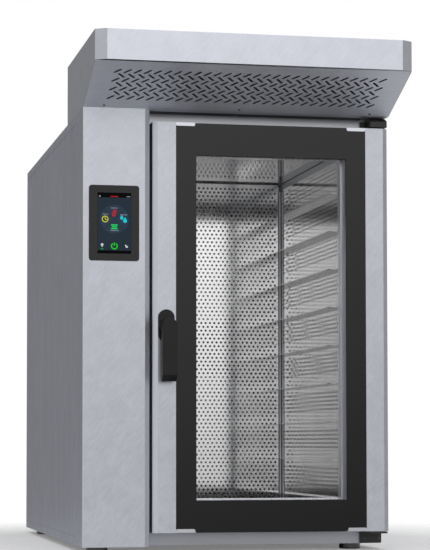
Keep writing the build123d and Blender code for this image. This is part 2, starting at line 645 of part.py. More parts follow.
# Hood intake plate: slanted, with seven rows of herringbone slots
with BuildPart() as hood_intake_plate:
    with BuildSketch(across_x(sheet)):
        with BuildLine():
            Polyline(*yz((hood_y1, lip_z0), (0, body_h), (68, body_h), (68, body_h + sheet),
                         (0.3, body_h + sheet), (hood_y1, lip_z0 + sheet / cos(slant))), close=True)
        make_face()
    extrude(amount=body_w - 2 * sheet)
    for sx in (sheet, body_w - 3.2):
        block(sx, sx + 1.7, hood_y1 - 1, hood_y1 + 0.9, lip_z0 - 1, lip_z0 + 4, mode=Mode.SUBTRACT)
    with BuildSketch(plate_plane) as slots:
        for row in range(7):
            along = 168.2 - 19.93 * row
            if row % 2 == 0:
                with Locations(*[(63.4 + 25.13 * k, along) for k in range(28)]):
                    SlotOverall(intake_slot_l, intake_slot_w, rotation=45)
            else:
                with Locations(*[(76.0 + 25.13 * k, along) for k in range(27)]):
                    SlotOverall(intake_slot_l, intake_slot_w, rotation=-45)
    extrude(amount=4, both=True, mode=Mode.SUBTRACT)
    with BuildSketch(plate_plane):
        with Locations(*[(sx, -sy / cos(slant)) for sx, sy in hood_screws + hood_small_screws]):
            Circle(screw_r + 0.1)
    extrude(amount=4, both=True, mode=Mode.SUBTRACT)

# Hood fan: duct tube whose upper end is the collar, with its motor on three struts
with BuildPart() as hood_fan_housing:
    rod_z(hood_fan_x, hood_fan_y, collar_r, 1176, hood_z1 + collar_h)
    rod_z(hood_fan_x, hood_fan_y, collar_r + 16, hood_z1, hood_z1 + sheet)
    rod_z(hood_fan_x, hood_fan_y, collar_r - sheet, 1170, hood_z1 + collar_h + 5, mode=Mode.SUBTRACT)
    rod_z(hood_fan_x, hood_fan_y, 30, 1178, 1212)
    for ang in (90, 210, 330):
        with BuildSketch(level(1184)):
            with Locations(Location((X0 + hood_fan_x, Y0 + hood_fan_y, 0), (0, 0, ang))):
                with Locations((51, 0)):
                    Rectangle(46.5, 5)
        extrude(amount=18)
    rod_z(hood_fan_x, hood_fan_y, 4.05, 1195, 1220, mode=Mode.SUBTRACT)

with BuildPart() as hood_fan_rotor:
    rod_z(hood_fan_x, hood_fan_y, 28, 1214, 1244)
    rod_z(hood_fan_x, hood_fan_y, 4.0, 1197, 1215)
    for k in range(7):
        with BuildSketch(Plane(origin=(X0 + hood_fan_x, Y0 + hood_fan_y, Z0 + 1229),
                               x_dir=(0, 0, 1),
                               z_dir=(cos(radians(360 / 7 * k)), sin(radians(360 / 7 * k)), 0)).offset(26)):
            Rectangle(28, 2.2, rotation=50)
        extrude(amount=44)

# ---------------------------------------------------------------------- door
# Stiles: hollow folded sections with end plates; the glass sits in the step
step_y = glass_y0 + glass_t + border_t
with BuildPart() as door_stile_left:
    with BuildSketch(level(door_z0)):
        with BuildLine():
            skin = FilletPolyline(*xy((door_x0, door_y1), (door_x0, door_y0 + bevel_y),
                                      (door_x0 + bevel_x + 0.4, door_y0), (glass_x0, door_y0)), radius=bend_out)
            Polyline(skin @ 1, *xy((glass_x0, step_y), (win_x0, step_y), (win_x0, door_y1)), skin @ 0)
        make_face()
    extrude(amount=door_z1 - door_z0)
    with BuildSketch(level(door_z0 + 3)):
        with BuildLine():
            Polyline(*xy((door_x0 + 1.5, door_y1 - 1.5), (door_x0 + 1.5, door_y0 + bevel_y + 0.87),
                         (door_x0 + bevel_x + 0.8, door_y0 + 1.5), (glass_x0 - 1.5, door_y0 + 1.5),
                         (glass_x0 - 1.5, step_y + 1.5), (win_x0 - 1.5, step_y + 1.5),
                         (win_x0 - 1.5, door_y1 - 1.5)), close=True)
        make_face()
    extrude(amount=door_z1 - door_z0 - 6, mode=Mode.SUBTRACT)
    rod_y(handle_x, handle_z, 8.0, 5, 15, mode=Mode.SUBTRACT)
    rod_y(handle_x, handle_z - keeper_drop, 11.0, 70, 80, mode=Mode.SUBTRACT)

with BuildPart() as door_stile_right:
    with BuildSketch(level(door_z0)):
        with BuildLine():
            skin = FilletPolyline(*xy((door_x1, door_y1), (door_x1, door_y0 + bevel_y),
                                      (door_x1 - bevel_x + 0.5, door_y0), (glass_x1, door_y0)), radius=bend_out)
            Polyline(skin @ 1, *xy((glass_x1, step_y), (win_x1, step_y), (win_x1, door_y1)), skin @ 0)
        make_face()
    extrude(amount=door_z1 - door_z0)
    with BuildSketch(level(door_z0 + 3)):
        with BuildLine():
            Polyline(*xy((door_x1 - 1.5, door_y1 - 1.5), (door_x1 - 1.5, door_y0 + bevel_y + 0.87),
                         (door_x1 - bevel_x + 0.1, door_y0 + 1.5), (glass_x1 + 1.5, door_y0 + 1.5),
                         (glass_x1 + 1.5, step_y + 1.5), (win_x1 + 1.5, step_y + 1.5),
                         (win_x1 + 1.5, door_y1 - 1.5)), close=True)
        make_face()
    extrude(amount=door_z1 - door_z0 - 6, mode=Mode.SUBTRACT)
    rod_z(hinge_x, hinge_y, 10.0, 30, 1090, mode=Mode.SUBTRACT)

# Top and bottom rails behind the glass border
rail_y0 = step_y
with BuildPart() as door_rails:
    block(win_x0, win_x1, rail_y0, door_y1, ring_out, door_z1)
    block(win_x0 - 1, win_x1 + 1, rail_y0 + 1.5, door_y1 - 1.5, ring_out + 1.5, door_z1 - 1.5, mode=Mode.SUBTRACT)
    block(win_x0, win_x1, rail_y0, door_y1, door_z0, win_z0)
    block(win_x0 - 1, win_x1 + 1, rail_y0 + 1.5, door_y1 - 1.5, door_z0 + 1.5, win_z0 - 1.5, mode=Mode.SUBTRACT)

with BuildPart() as door_outer_glass:
    block(glass_x0, glass_x1, glass_y0, glass_y0 + glass_t, glass_z0, glass_z1)

with BuildPart() as door_glass_border:
    block(glass_x0, glass_x1, glass_y0 + glass_t, rail_y0, glass_z0, glass_z1)
    block(win_x0, win_x1, glass_y0 + glass_t - 1, rail_y0 + 1, win_z0, win_z1, mode=Mode.SUBTRACT)

with BuildPart() as door_inner_frame:
    block(win_x0, win_x1, 54, door_y1, win_z0, ring_out)
    block(win_x0 + 4, win_x1 - 4, 50, 80, win_z0 + 4, ring_in, mode=Mode.SUBTRACT)

with BuildPart() as door_inner_glass:
    block(win_x0 + 4, win_x1 - 4, 61, 65, win_z0 + 4, ring_in)

# Corner clips: fold over the glass edge at each corner
clip_l, clip_h, clip_t = 50.0, 8.8, 1.2
with BuildPart() as glass_clips:
    for cx0 in (glass_x0, glass_x1 - clip_l):
        block(cx0, cx0 + clip_l, glass_y0 - clip_t, glass_y0, glass_z1 + 1 - clip_h, glass_z1 + 1)
        block(cx0, cx0 + clip_l, glass_y0, rail_y0, glass_z1, glass_z1 + 1)
        block(cx0, cx0 + clip_l, glass_y0 - clip_t, glass_y0, glass_z0 - 1, glass_z0 - 1 + clip_h)
        block(cx0, cx0 + clip_l, glass_y0, rail_y0, glass_z0 - 1, glass_z0)
    clip_corners = [e for e in glass_clips.edges().filter_by(Axis.Y)
                    if abs(e.length - clip_t) < 1e-6
                    and (abs(e.center().Z - (Z0 + glass_z1 + 1 - clip_h)) < 1e-3
                         or abs(e.center().Z - (Z0 + glass_z0 - 1 + clip_h)) < 1e-3)]
    fillet(clip_corners, 4.0)

# Bronze hinge bushes, flanged, pressed into the right stile's end plates
with BuildPart() as door_hinge_bushes:
    rod_z(hinge_x, hinge_y, 10.0, door_z0, 60)
    rod_z(hinge_x, hinge_y, 14.0, 32.5, door_z0)
    rod_z(hinge_x, hinge_y, 10.0, 1059, door_z1)
    rod_z(hinge_x, hinge_y, 14.0, door_z1, door_z1 + 1.5)
    rod_z(hinge_x, hinge_y, hinge_pin_r + bush_clear, 20, 1100, mode=Mode.SUBTRACT)

# Handle: pill-shaped escutcheon, lever with a round head, hub
with BuildPart() as handle_escutcheon:
    with BuildSketch(across_y(door_y0)):
        with Locations((X0 + handle_x - 0.5, Z0 + handle_z)):
            SlotCenterToCenter(42, 42, rotation=90)
        with Locations((X0 + handle_x, Z0 + handle_z)):
            Circle(13.0, mode=Mode.SUBTRACT)
    extrude(amount=8)
    fillet(handle_escutcheon.faces().sort_by(Axis.Y)[0].outer_wire().edges(), 1.5)

with BuildPart() as handle_lever:
    with BuildSketch(across_y(lever_y1)):
        with BuildLine():
            lever_side = Polyline(*xz((lever_x + lever_w / 2, handle_z), (lever_x + lever_w / 2, 410),
                                      (lever_x - lever_w / 2, 410), (lever_x - lever_w / 2, handle_z)))
            RadiusArc(lever_side @ 1, lever_side @ 0, lever_w / 2 + 0.01)
        make_face()
    extrude(amount=lever_y1 - lever_y0)
    with BuildSketch(across_x(handle_x - 40)):
        with BuildLine():
            Polyline(*yz((lever_y0 - 5, 400), (lever_y1 + 5, 400), (lever_y1 + 5, 418 - 3.75),
                         (lever_y1, 418), (lever_y0, lever_z0), (lever_y0 - 5, lever_z0 + 3.75)), close=True)
        make_face()
    extrude(amount=80, mode=Mode.SUBTRACT)
    fillet(handle_lever.faces().sort_by(Axis.Y)[0].edges(), 1.6)
    rod_y(handle_x, handle_z, 19.5, lever_y1, 1.5)
    rod_y(handle_x, handle_z, 12.5, 1.5, 9.0)

# Spindle and the open hook that turns behind the stile's front wall
with BuildPart() as latch_spindle:
    rod_y(handle_x, handle_z, 7.5, 9.0, 66)
    with BuildSketch(across_y(62)):
        with Locations((X0 + handle_x, Z0 + handle_z)):
            Circle(17)
        with BuildLine():
            l1 = Line((X0 + handle_x, Z0 + handle_z),
                      (X0 + handle_x + 60 * cos(radians(-115)), Z0 + handle_z + 60 * sin(radians(-115))))
            l2 = CenterArc((X0 + handle_x, Z0 + handle_z), 60, -115, 60)
            l3 = Line(l2 @ 1, (X0 + handle_x, Z0 + handle_z))
        make_face()
        with BuildLine():
            m1 = CenterArc((X0 + handle_x, Z0 + handle_z), 55, -125, 47)
            m2 = CenterArc((X0 + handle_x, Z0 + handle_z), 35, -125, 47)
            Line(m1 @ 0, m2 @ 0)
            Line(m1 @ 1, m2 @ 1)
        make_face(mode=Mode.SUBTRACT)
    extrude(amount=4)

# -------------------------------------------------------------------- export
base_pan.part.label = "base_pan"
export_step(base_pan.part, "parts/base_pan.step")
left_side_panel.part.label = "left_side_panel"
export_step(left_side_panel.part, "parts/left_side_panel.step")
right_side_panel.part.label = "right_side_panel"
export_step(right_side_panel.part, "parts/right_side_panel.step")
rear_panel.part.label = "rear_panel"
export_step(rear_panel.part, "parts/rear_panel.step")
roof_panel.part.label = "roof_panel"
export_step(roof_panel.part, "parts/roof_panel.step")
column_front.part.label = "column_front"
export_step(column_front.part, "parts/column_front.step")
front_rails.part.label = "front_rails"
export_step(front_rails.part, "parts/front_rails.step")
front_posts.part.label = "front_posts"
export_step(front_posts.part, "parts/front_posts.step")
column_divider.part.label = "column_divider"
export_step(column_divider.part, "parts/column_divider.step")
cavity_ceiling.part.label = "cavity_ceiling"
export_step(cavity_ceiling.part, "parts/cavity_ceiling.step")
cavity_floor.part.label = "cavity_floor"
export_step(cavity_floor.part, "parts/cavity_floor.step")
cavity_wall_left.part.label = "cavity_wall_left"
export_step(cavity_wall_left.part, "parts/cavity_wall_left.step")
cavity_wall_right.part.label = "cavity_wall_right"
export_step(cavity_wall_right.part, "parts/cavity_wall_right.step")
cavity_wall_rear.part.label = "cavity_wall_rear"
export_step(cavity_wall_rear.part, "parts/cavity_wall_rear.step")
rack_panel_left.part.label = "rack_panel_left"
export_step(rack_panel_left.part, "parts/rack_panel_left.step")
rack_panel_right.part.label = "rack_panel_right"
export_step(rack_panel_right.part, "parts/rack_panel_right.step")
tray_rails.part.label = "tray_rails"
export_step(tray_rails.part, "parts/tray_rails.step")
diffuser_panel.part.label = "diffuser_panel"
export_step(diffuser_panel.part, "parts/diffuser_panel.step")
insulation_slabs.part.label = "insulation_slabs"
export_step(insulation_slabs.part, "parts/insulation_slabs.step")
motor_plate.part.label = "motor_plate"
export_step(motor_plate.part, "parts/motor_plate.step")
fan_motors.part.label = "fan_motors"
export_step(fan_motors.part, "parts/fan_motors.step")
impeller_upper.part.label = "impeller_upper"
export_step(impeller_upper.part, "parts/impeller_upper.step")
impeller_lower.part.label = "impeller_lower"
export_step(impeller_lower.part, "parts/impeller_lower.step")
heater_rings.part.label = "heater_rings"
export_step(heater_rings.part, "parts/heater_rings.step")
cavity_lamp.part.label = "cavity_lamp"
export_step(cavity_lamp.part, "parts/cavity_lamp.step")
door_gasket.part.label = "door_gasket"
export_step(door_gasket.part, "parts/door_gasket.step")
touch_bezel.part.label = "touch_bezel"
export_step(touch_bezel.part, "parts/touch_bezel.step")
touch_display.part.label = "touch_display"
export_step(touch_display.part, "parts/touch_display.step")
controller_box.part.label = "controller_box"
export_step(controller_box.part, "parts/controller_box.step")
power_board.part.label = "power_board"
export_step(power_board.part, "parts/power_board.step")
column_fan_frame.part.label = "column_fan_frame"
export_step(column_fan_frame.part, "parts/column_fan_frame.step")
column_fan_rotor.part.label = "column_fan_rotor"
export_step(column_fan_rotor.part, "parts/column_fan_rotor.step")
cable_gland.part.label = "cable_gland"
export_step(cable_gland.part, "parts/cable_gland.step")
water_valve.part.label = "water_valve"
export_step(water_valve.part, "parts/water_valve.step")
steam_pipe.part.label = "steam_pipe"
export_step(steam_pipe.part, "parts/steam_pipe.step")
drain_pipe.part.label = "drain_pipe"
export_step(drain_pipe.part, "parts/drain_pipe.step")
vent_pipe.part.label = "vent_pipe"
export_step(vent_pipe.part, "parts/vent_pipe.step")
vent_damper.part.label = "vent_damper"
export_step(vent_damper.part, "parts/vent_damper.step")
hinge_bracket_top.part.label = "hinge_bracket_top"
export_step(hinge_bracket_top.part, "parts/hinge_bracket_top.step")
hinge_bracket_bottom.part.label = "hinge_bracket_bottom"
export_step(hinge_bracket_bottom.part, "parts/hinge_bracket_bottom.step")
latch_keeper.part.label = "latch_keeper"
export_step(latch_keeper.part, "parts/latch_keeper.step")
feet.part.label = "feet"
export_step(feet.part, "parts/feet.step")
panel_screws.part.label = "panel_screws"
export_step(panel_screws.part, "parts/panel_screws.step")
hood_shell.part.label = "hood_shell"
export_step(hood_shell.part, "parts/hood_shell.step")
hood_intake_plate.part.label = "hood_intake_plate"
export_step(hood_intake_plate.part, "parts/hood_intake_plate.step")
hood_fan_housing.part.label = "hood_fan_housing"
export_step(hood_fan_housing.part, "parts/hood_fan_housing.step")
hood_fan_rotor.part.label = "hood_fan_rotor"
export_step(hood_fan_rotor.part, "parts/hood_fan_rotor.step")
door_stile_left.part.label = "door_stile_left"
export_step(door_stile_left.part, "parts/door_stile_left.step")
door_stile_right.part.label = "door_stile_right"
export_step(door_stile_right.part, "parts/door_stile_right.step")
door_rails.part.label = "door_rails"
export_step(door_rails.part, "parts/door_rails.step")
door_outer_glass.part.label = "door_outer_glass"
export_step(door_outer_glass.part, "parts/door_outer_glass.step")
door_glass_border.part.label = "door_glass_border"
export_step(door_glass_border.part, "parts/door_glass_border.step")
door_inner_frame.part.label = "door_inner_frame"
export_step(door_inner_frame.part, "parts/door_inner_frame.step")
door_inner_glass.part.label = "door_inner_glass"
export_step(door_inner_glass.part, "parts/door_inner_glass.step")
glass_clips.part.label = "glass_clips"
export_step(glass_clips.part, "parts/glass_clips.step")
door_hinge_bushes.part.label = "door_hinge_bushes"
export_step(door_hinge_bushes.part, "parts/door_hinge_bushes.step")
handle_escutcheon.part.label = "handle_escutcheon"
export_step(handle_escutcheon.part, "parts/handle_escutcheon.step")
handle_lever.part.label = "handle_lever"
export_step(handle_lever.part, "parts/handle_lever.step")
latch_spindle.part.label = "latch_spindle"
export_step(latch_spindle.part, "parts/latch_spindle.step")
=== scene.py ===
import json
import math
import bpy
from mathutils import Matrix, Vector

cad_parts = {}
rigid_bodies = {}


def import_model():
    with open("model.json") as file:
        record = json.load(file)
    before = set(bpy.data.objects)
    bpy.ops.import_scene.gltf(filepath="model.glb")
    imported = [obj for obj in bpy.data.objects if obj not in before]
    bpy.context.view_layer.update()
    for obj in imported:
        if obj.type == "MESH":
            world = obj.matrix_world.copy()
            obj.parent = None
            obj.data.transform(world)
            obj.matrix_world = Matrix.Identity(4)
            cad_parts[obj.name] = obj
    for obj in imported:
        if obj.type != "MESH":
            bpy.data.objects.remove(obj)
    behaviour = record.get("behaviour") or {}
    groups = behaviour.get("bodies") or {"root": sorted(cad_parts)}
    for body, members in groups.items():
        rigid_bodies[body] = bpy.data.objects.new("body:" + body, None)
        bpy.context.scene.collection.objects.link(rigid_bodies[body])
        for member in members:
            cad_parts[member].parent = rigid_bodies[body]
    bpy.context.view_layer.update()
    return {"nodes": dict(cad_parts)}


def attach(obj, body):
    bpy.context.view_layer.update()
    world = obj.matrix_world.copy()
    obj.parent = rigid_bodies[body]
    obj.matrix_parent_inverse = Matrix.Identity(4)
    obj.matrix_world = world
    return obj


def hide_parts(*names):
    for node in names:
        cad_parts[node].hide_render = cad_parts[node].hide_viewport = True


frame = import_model()
nodes = frame["nodes"]
for stray in list(bpy.data.objects):
    if stray.name not in nodes and not stray.name.startswith("body:"):
        bpy.data.objects.remove(stray, do_unlink=True)
scene = bpy.context.scene
scene.view_settings.view_transform = "Standard"
scene.cycles.transparent_max_bounces = 24
scene.cycles.glossy_bounces = 8


# ------------------------------------------------------------------ geometry
def P(x, y, z):
    """Millimetres from the body's front left bottom corner, in the row frame."""
    return Vector(((x - 402.5) / 1000, (y - 520) / 1000, (z + 15) / 1000))


class Flat:
    """Faces in a plane that share their vertices; solid() gives them a thickness."""

    def __init__(self):
        self.index, self.points, self.faces = {}, [], []

    def vertex(self, u, v):
        key = (round(u * 1e4), round(v * 1e4))
        if key not in self.index:
            self.index[key] = len(self.points)
            self.points.append((u, v))
        return self.index[key]

    def face(self, *corners):
        self.faces.append([self.vertex(u, v) for u, v in corners])

    def rect(self, u0, u1, v0, v1):
        self.face((u0, v0), (u1, v0), (u1, v1), (u0, v1))

    def disc(self, cu, cv, r, n=24):
        self.face(*[(cu + r * math.cos(2 * math.pi * k / n), cv + r * math.sin(2 * math.pi * k / n))
                    for k in range(n)])

    def ring(self, cu, cv, r0, r1, a0=0.0, a1=360.0, n=32):
        def at(r, k):
            a = math.radians(a0 + (a1 - a0) * k / n)
            return cu + r * math.cos(a), cv + r * math.sin(a)
        for k in range(n):
            self.face(at(r0, k), at(r1, k), at(r1, k + 1), at(r0, k + 1))

    def bar(self, u0, v0, u1, v1, w):
        """A straight stroke of width w."""
        d = math.hypot(u1 - u0, v1 - v0)
        nu, nv = -(v1 - v0) / d * w / 2, (u1 - u0) / d * w / 2
        self.face((u0 - nu, v0 - nv), (u1 - nu, v1 - nv), (u1 + nu, v1 + nv), (u0 + nu, v0 + nv))

    def rounded(self, u0, u1, v0, v1, r, n=6):
        corners = []
        for cu, cv, a in ((u1 - r, v0 + r, -90), (u1 - r, v1 - r, 0), (u0 + r, v1 - r, 90), (u0 + r, v0 + r, 180)):
            for k in range(n + 1):
                t = math.radians(a + 90 * k / n)
                corners.append((cu + r * math.cos(t), cv + r * math.sin(t)))
        self.face(*corners)

    def solid(self, place, thick, verts, faces, cut=None):
        """Adds the plate to verts and faces. place(u, v, depth) gives the point in the row frame.
        cut, a list, gets the numbers of the faces on the edges of holes."""
        base, count = len(verts), len(self.points)
        verts.extend(place(u, v, 0.0) for u, v in self.points)
        verts.extend(place(u, v, thick) for u, v in self.points)
        used = {}
        for f in self.faces:
            faces.append([base + i for i in f])
            faces.append([base + count + i for i in reversed(f)])
            used.update(dict.fromkeys(zip(f, f[1:] + f[:1])))
        us, vs = [p[0] for p in self.points], [p[1] for p in self.points]
        u0, u1, v0, v1 = min(us), max(us), min(vs), max(vs)
        for a, b in used:
            if (b, a) not in used:
                mu, mv = (us[a] + us[b]) / 2, (vs[a] + vs[b]) / 2
                if cut is not None and u0 + 0.5 < mu < u1 - 0.5 and v0 + 0.5 < mv < v1 - 0.5:
                    cut.append(len(faces))
                faces.append([base + b, base + a, base + count + a, base + count + b])


def piece(name, verts, faces, body):
    mesh = bpy.data.meshes.new(name)
    mesh.from_pydata([tuple(v) for v in verts], [], faces)
    mesh.validate()
    mesh.update()
    made = bpy.data.objects.new(name, mesh)
    scene.collection.objects.link(made)
    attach(made, body)
    return made


def facing_front(y):
    """Places a Flat across Y at height y, seen from the front: u is X, v is Z, depth goes to +Y."""
    return lambda u, v, d: P(u, y + d, v)


def prism(outline, axis_lo, axis_hi, place, verts, faces):
    """A straight bar with the given outline; place(u, v, t) gives the point."""
    base, n = len(verts), len(outline)
    verts.extend(place(u, v, axis_lo) for u, v in outline)
    verts.extend(place(u, v, axis_hi) for u, v in outline)
    faces.append([base + i for i in range(n)])
    faces.append([base + n + i for i in reversed(range(n))])
    for i in range(n):
        j = (i + 1) % n
        faces.append([base + j, base + i, base + n + i, base + n + j])


def perforate(flat, u0, u1, pitch, rows, radius):
    """Fills u0..u1 with rows of holes, offset by half a pitch in every second row of a group.
    rows is a list of (v0, v1, kind): kind None is plain sheet, 0 or 1 a row of holes."""
    count = int((u1 - u0 - pitch * 0.5 - 6.0) // pitch)
    g0 = (u0 + u1) / 2 - (count + 0.5) * pitch / 2
    g1 = g0 + (count + 0.5) * pitch
    q = pitch / 4
    steps = [g0 + q * k for k in range(count * 4 + 3)]
    for v0, v1, kind in rows:
        if kind is None:
            flat.rect(u0, g0, v0, v1)
            for a, b in zip(steps, steps[1:]):
                flat.rect(a, b, v0, v1)
            flat.rect(g1, u1, v0, v1)
            continue
        vm, h = (v0 + v1) / 2, (v1 - v0) / 2
        for a, b in ((v0, vm), (vm, v1)):
            flat.rect(u0, g0, a, b)
            flat.rect(g1, u1, a, b)
            fill = g0 if kind else g1 - 2 * q
            flat.rect(fill, fill + q, a, b)
            flat.rect(fill + q, fill + 2 * q, a, b)
        start = g0 + (2 * q if kind else 0.0) + 2 * q
        outer = [(2 * q, 0), (2 * q, h), (q, h), (0, h), (-q, h), (-2 * q, h),
                 (-2 * q, 0), (-2 * q, -h), (-q, -h), (0, -h), (q, -h), (2 * q, -h)]
        inner = [(radius * math.cos(math.radians(30 * k)), radius * math.sin(math.radians(30 * k)))
                 for k in range(12)]
        for c in range(count):
            cu = start + pitch * c
            for k in range(12):
                j = (k + 1) % 12
                flat.face((cu + inner[k][0], vm + inner[k][1]), (cu + outer[k][0], vm + outer[k][1]),
                          (cu + outer[j][0], vm + outer[j][1]), (cu + inner[j][0], vm + inner[j][1]))


# ----------------------------------------------------------------- materials
class Shader:
    """A material's node tree, with short calls for the nodes used here."""

    def __init__(self, name):
        self.mat = bpy.data.materials.new(name)
        self.mat.use_nodes = True
        self.tree = self.mat.node_tree
        self.tree.nodes.clear()
        self.out = self.tree.nodes.new("ShaderNodeOutputMaterial")
        self.co = None

    def node(self, kind, **inputs):
        n = self.tree.nodes.new("ShaderNode" + kind)
        for key, value in inputs.items():
            n.inputs[key.replace("_", " ")].default_value = value
        return n

    def link(self, a, b):
        self.tree.links.new(a, b)

    def coords(self):
        if self.co is None:
            self.co = self.tree.nodes.new("ShaderNodeTexCoord").outputs["Object"]
        return self.co

    def noise(self, scale, turn=None, shift=(0, 0, 0), detail=2.0, rough=0.5, distort=0.0):
        """Noise in object space, in cycles a metre along each axis after the turn."""
        at = self.coords()
        if turn:
            m = self.node("Mapping")
            m.inputs["Rotation"].default_value = [math.radians(a) for a in turn]
            self.link(at, m.inputs["Vector"])
            at = m.outputs["Vector"]
        m = self.node("Mapping")
        m.inputs["Scale"].default_value = scale
        m.inputs["Location"].default_value = shift
        self.link(at, m.inputs["Vector"])
        t = self.node("TexNoise", Scale=1.0, Detail=detail, Roughness=rough, Distortion=distort)
        self.link(m.outputs["Vector"], t.inputs["Vector"])
        return t.outputs["Fac"]

    def ranged(self, value, lo, hi, a=0.35, b=0.65):
        m = self.node("MapRange")
        m.inputs["From Min"].default_value = a
        m.inputs["From Max"].default_value = b
        m.inputs["To Min"].default_value = lo
        m.inputs["To Max"].default_value = hi
        self.link(value, m.inputs["Value"])
        return m.outputs["Result"]

    def math(self, op, a, b):
        m = self.tree.nodes.new("ShaderNodeMath")
        m.operation = op
        for i, v in enumerate((a, b)):
            if isinstance(v, (int, float)):
                m.inputs[i].default_value = v
            else:
                self.link(v, m.inputs[i])
        return m.outputs[0]

    def mix(self, fac, a, b):
        m = self.tree.nodes.new("ShaderNodeMix")
        m.data_type = "RGBA"
        for i, v in ((0, fac), (6, a), (7, b)):
            if isinstance(v, (int, float)):
                m.inputs[i].default_value = v
            elif isinstance(v, (tuple, list)):
                m.inputs[i].default_value = (*v, 1.0)
            else:
                self.link(v, m.inputs[i])
        return m.outputs[2]

    def bump(self, value, strength, distance=0.0003, normal=None):
        b = self.node("Bump", Strength=strength, Distance=distance)
        self.link(value, b.inputs["Height"])
        if normal is not None:
            self.link(normal, b.inputs["Normal"])
        return b.outputs["Normal"]

    def principled(self, **inputs):
        p = self.node("BsdfPrincipled", **inputs)
        self.link(p.outputs["BSDF"], self.out.inputs["Surface"])
        return p


def scaled(c, k):
    return tuple(min(1.0, v * k) for v in c)


def brushed(name, base, rough, turn, streak=0.03, cloud=0.03, fine=0.02, tint=None,
            along=3.0, across=170.0, axis=2, bump=0.05, metallic=1.0, puff=(7, 7, 7)):
    """Ground sheet steel: streaks along one axis (after the turn), clouds and fine grain."""
    s = Shader(name)
    scale = [across] * 3
    scale[axis] = along
    streaks = s.noise(scale, turn, (3, 7, 1), detail=3.0, rough=0.65)
    grain_scale = [across * 6] * 3
    grain_scale[axis] = along * 5
    grain = s.noise(grain_scale, turn, (5, 2, 9), detail=2.0, rough=0.6)
    clouds = s.noise(puff, turn, (1, 4, 2), detail=3.0, rough=0.6)
    c1 = s.mix(s.ranged(streaks, 0, 1), scaled(base, 1 - streak), scaled(base, 1 + streak))
    c2 = s.mix(s.ranged(clouds, 0, 1), (1 - cloud,) * 3, (1.0, 1.0, 1.0))
    m = s.tree.nodes.new("ShaderNodeMix")
    m.data_type, m.blend_type = "RGBA", "MULTIPLY"
    m.inputs[0].default_value = 1.0
    s.link(c1, m.inputs[6])
    s.link(c2, m.inputs[7])
    colour = m.outputs[2]
    if tint:
        patches = s.noise([v * 0.35 for v in scale], turn, (8, 3, 5), detail=2.0)
        colour = s.mix(s.ranged(patches, 0, tint[1], 0.5, 0.7), colour, tint[0])
    p = s.principled(Metallic=metallic)
    s.link(colour, p.inputs["Base Color"])
    r = s.math("ADD", s.ranged(streaks, rough - fine, rough + fine), s.ranged(grain, -fine, fine))
    s.link(r, p.inputs["Roughness"])
    n = s.bump(streaks, bump, 0.0004)
    n = s.bump(grain, bump, 0.0001, n)
    s.link(n, p.inputs["Normal"])
    return s.mat


def polished(name, base, rough, spot=0.02, waves=0.05):
    """Bright-rolled sheet: mirror-like, with faint waviness and a few clouds."""
    s = Shader(name)
    clouds = s.noise((9, 9, 9), None, (2, 2, 5), detail=3.0)
    wave = s.noise((14, 14, 14), None, (7, 1, 3), detail=1.0)
    rolled = s.noise((260, 260, 5), None, (4, 4, 4), detail=2.0)
    p = s.principled(Metallic=1.0)
    s.link(s.mix(s.ranged(clouds, 0, 1), scaled(base, 1 - spot), scaled(base, 1 + spot)), p.inputs["Base Color"])
    s.link(s.math("ADD", s.ranged(rolled, -0.015, 0.015), s.ranged(clouds, rough * 0.9, rough * 1.15)),
           p.inputs["Roughness"])
    s.link(s.bump(rolled, 0.02, 0.0002, s.bump(wave, waves, 0.002)), p.inputs["Normal"])
    return s.mat


def moulded(name, base, rough, size=900.0, bump=0.15, cloud=0.06, specular=0.5, metallic=0.0, coat=0.0,
            ior=1.5, vary=0.04):
    """Moulded plastic, rubber or paint with a fine texture."""
    s = Shader(name)
    clouds = s.noise((18, 18, 18), None, (6, 1, 8), detail=3.0)
    pores = s.noise((size, size, size), None, (2, 9, 4), detail=2.0, rough=0.6)
    p = s.principled(Metallic=metallic, IOR=ior)
    p.inputs["Specular IOR Level"].default_value = specular
    if coat:
        p.inputs["Coat Weight"].default_value = coat
        p.inputs["Coat Roughness"].default_value = 0.08
    s.link(s.mix(s.ranged(clouds, 0, 1), scaled(base, 1 - cloud), scaled(base, 1 + cloud)), p.inputs["Base Color"])
    s.link(s.ranged(clouds, max(0.0, rough - vary), rough + vary), p.inputs["Roughness"])
    s.link(s.bump(pores, bump, 0.00015), p.inputs["Normal"])
    return s.mat


def pane(name, tint, f0, rough=0.01):
    """A clear sheet: light goes straight through, and part of it is mirrored, more at a glancing angle."""
    s = Shader(name)
    see = s.node("BsdfTransparent", Color=(*tint, 1.0))
    shine = s.node("BsdfGlossy", Color=(1, 1, 1, 1), Roughness=rough)
    face = s.node("LayerWeight", Blend=0.5).outputs["Facing"]
    fac = s.math("ADD", s.math("MULTIPLY", s.math("POWER", face, 5.0), 0.9), f0)
    both = s.node("MixShader")
    s.link(fac, both.inputs[0])
    s.link(see.outputs[0], both.inputs[1])
    s.link(shine.outputs[0], both.inputs[2])
    s.link(both.outputs[0], s.out.inputs["Surface"])
    return s.mat


def lit(name, colour, strength, gloss=0.08):
    """Part of the lit display, behind smooth glass: a faint pixel grid in its light."""
    s = Shader(name)
    grid = s.noise((2200, 2200, 2200), None, (1, 1, 1), detail=0.0)
    shade = s.noise((12, 12, 12), None, (3, 3, 3), detail=1.0)
    p = s.principled(Roughness=gloss)
    p.inputs["Specular IOR Level"].default_value = 0.02
    p.inputs["Base Color"].default_value = (0.002, 0.002, 0.002, 1)
    tone = s.math("MULTIPLY", s.ranged(grid, 0.92, 1.06), s.ranged(shade, 0.94, 1.05))
    s.link(s.mix(tone, (0, 0, 0), colour), p.inputs["Emission Color"])
    p.inputs["Emission Strength"].default_value = strength
    return s.mat


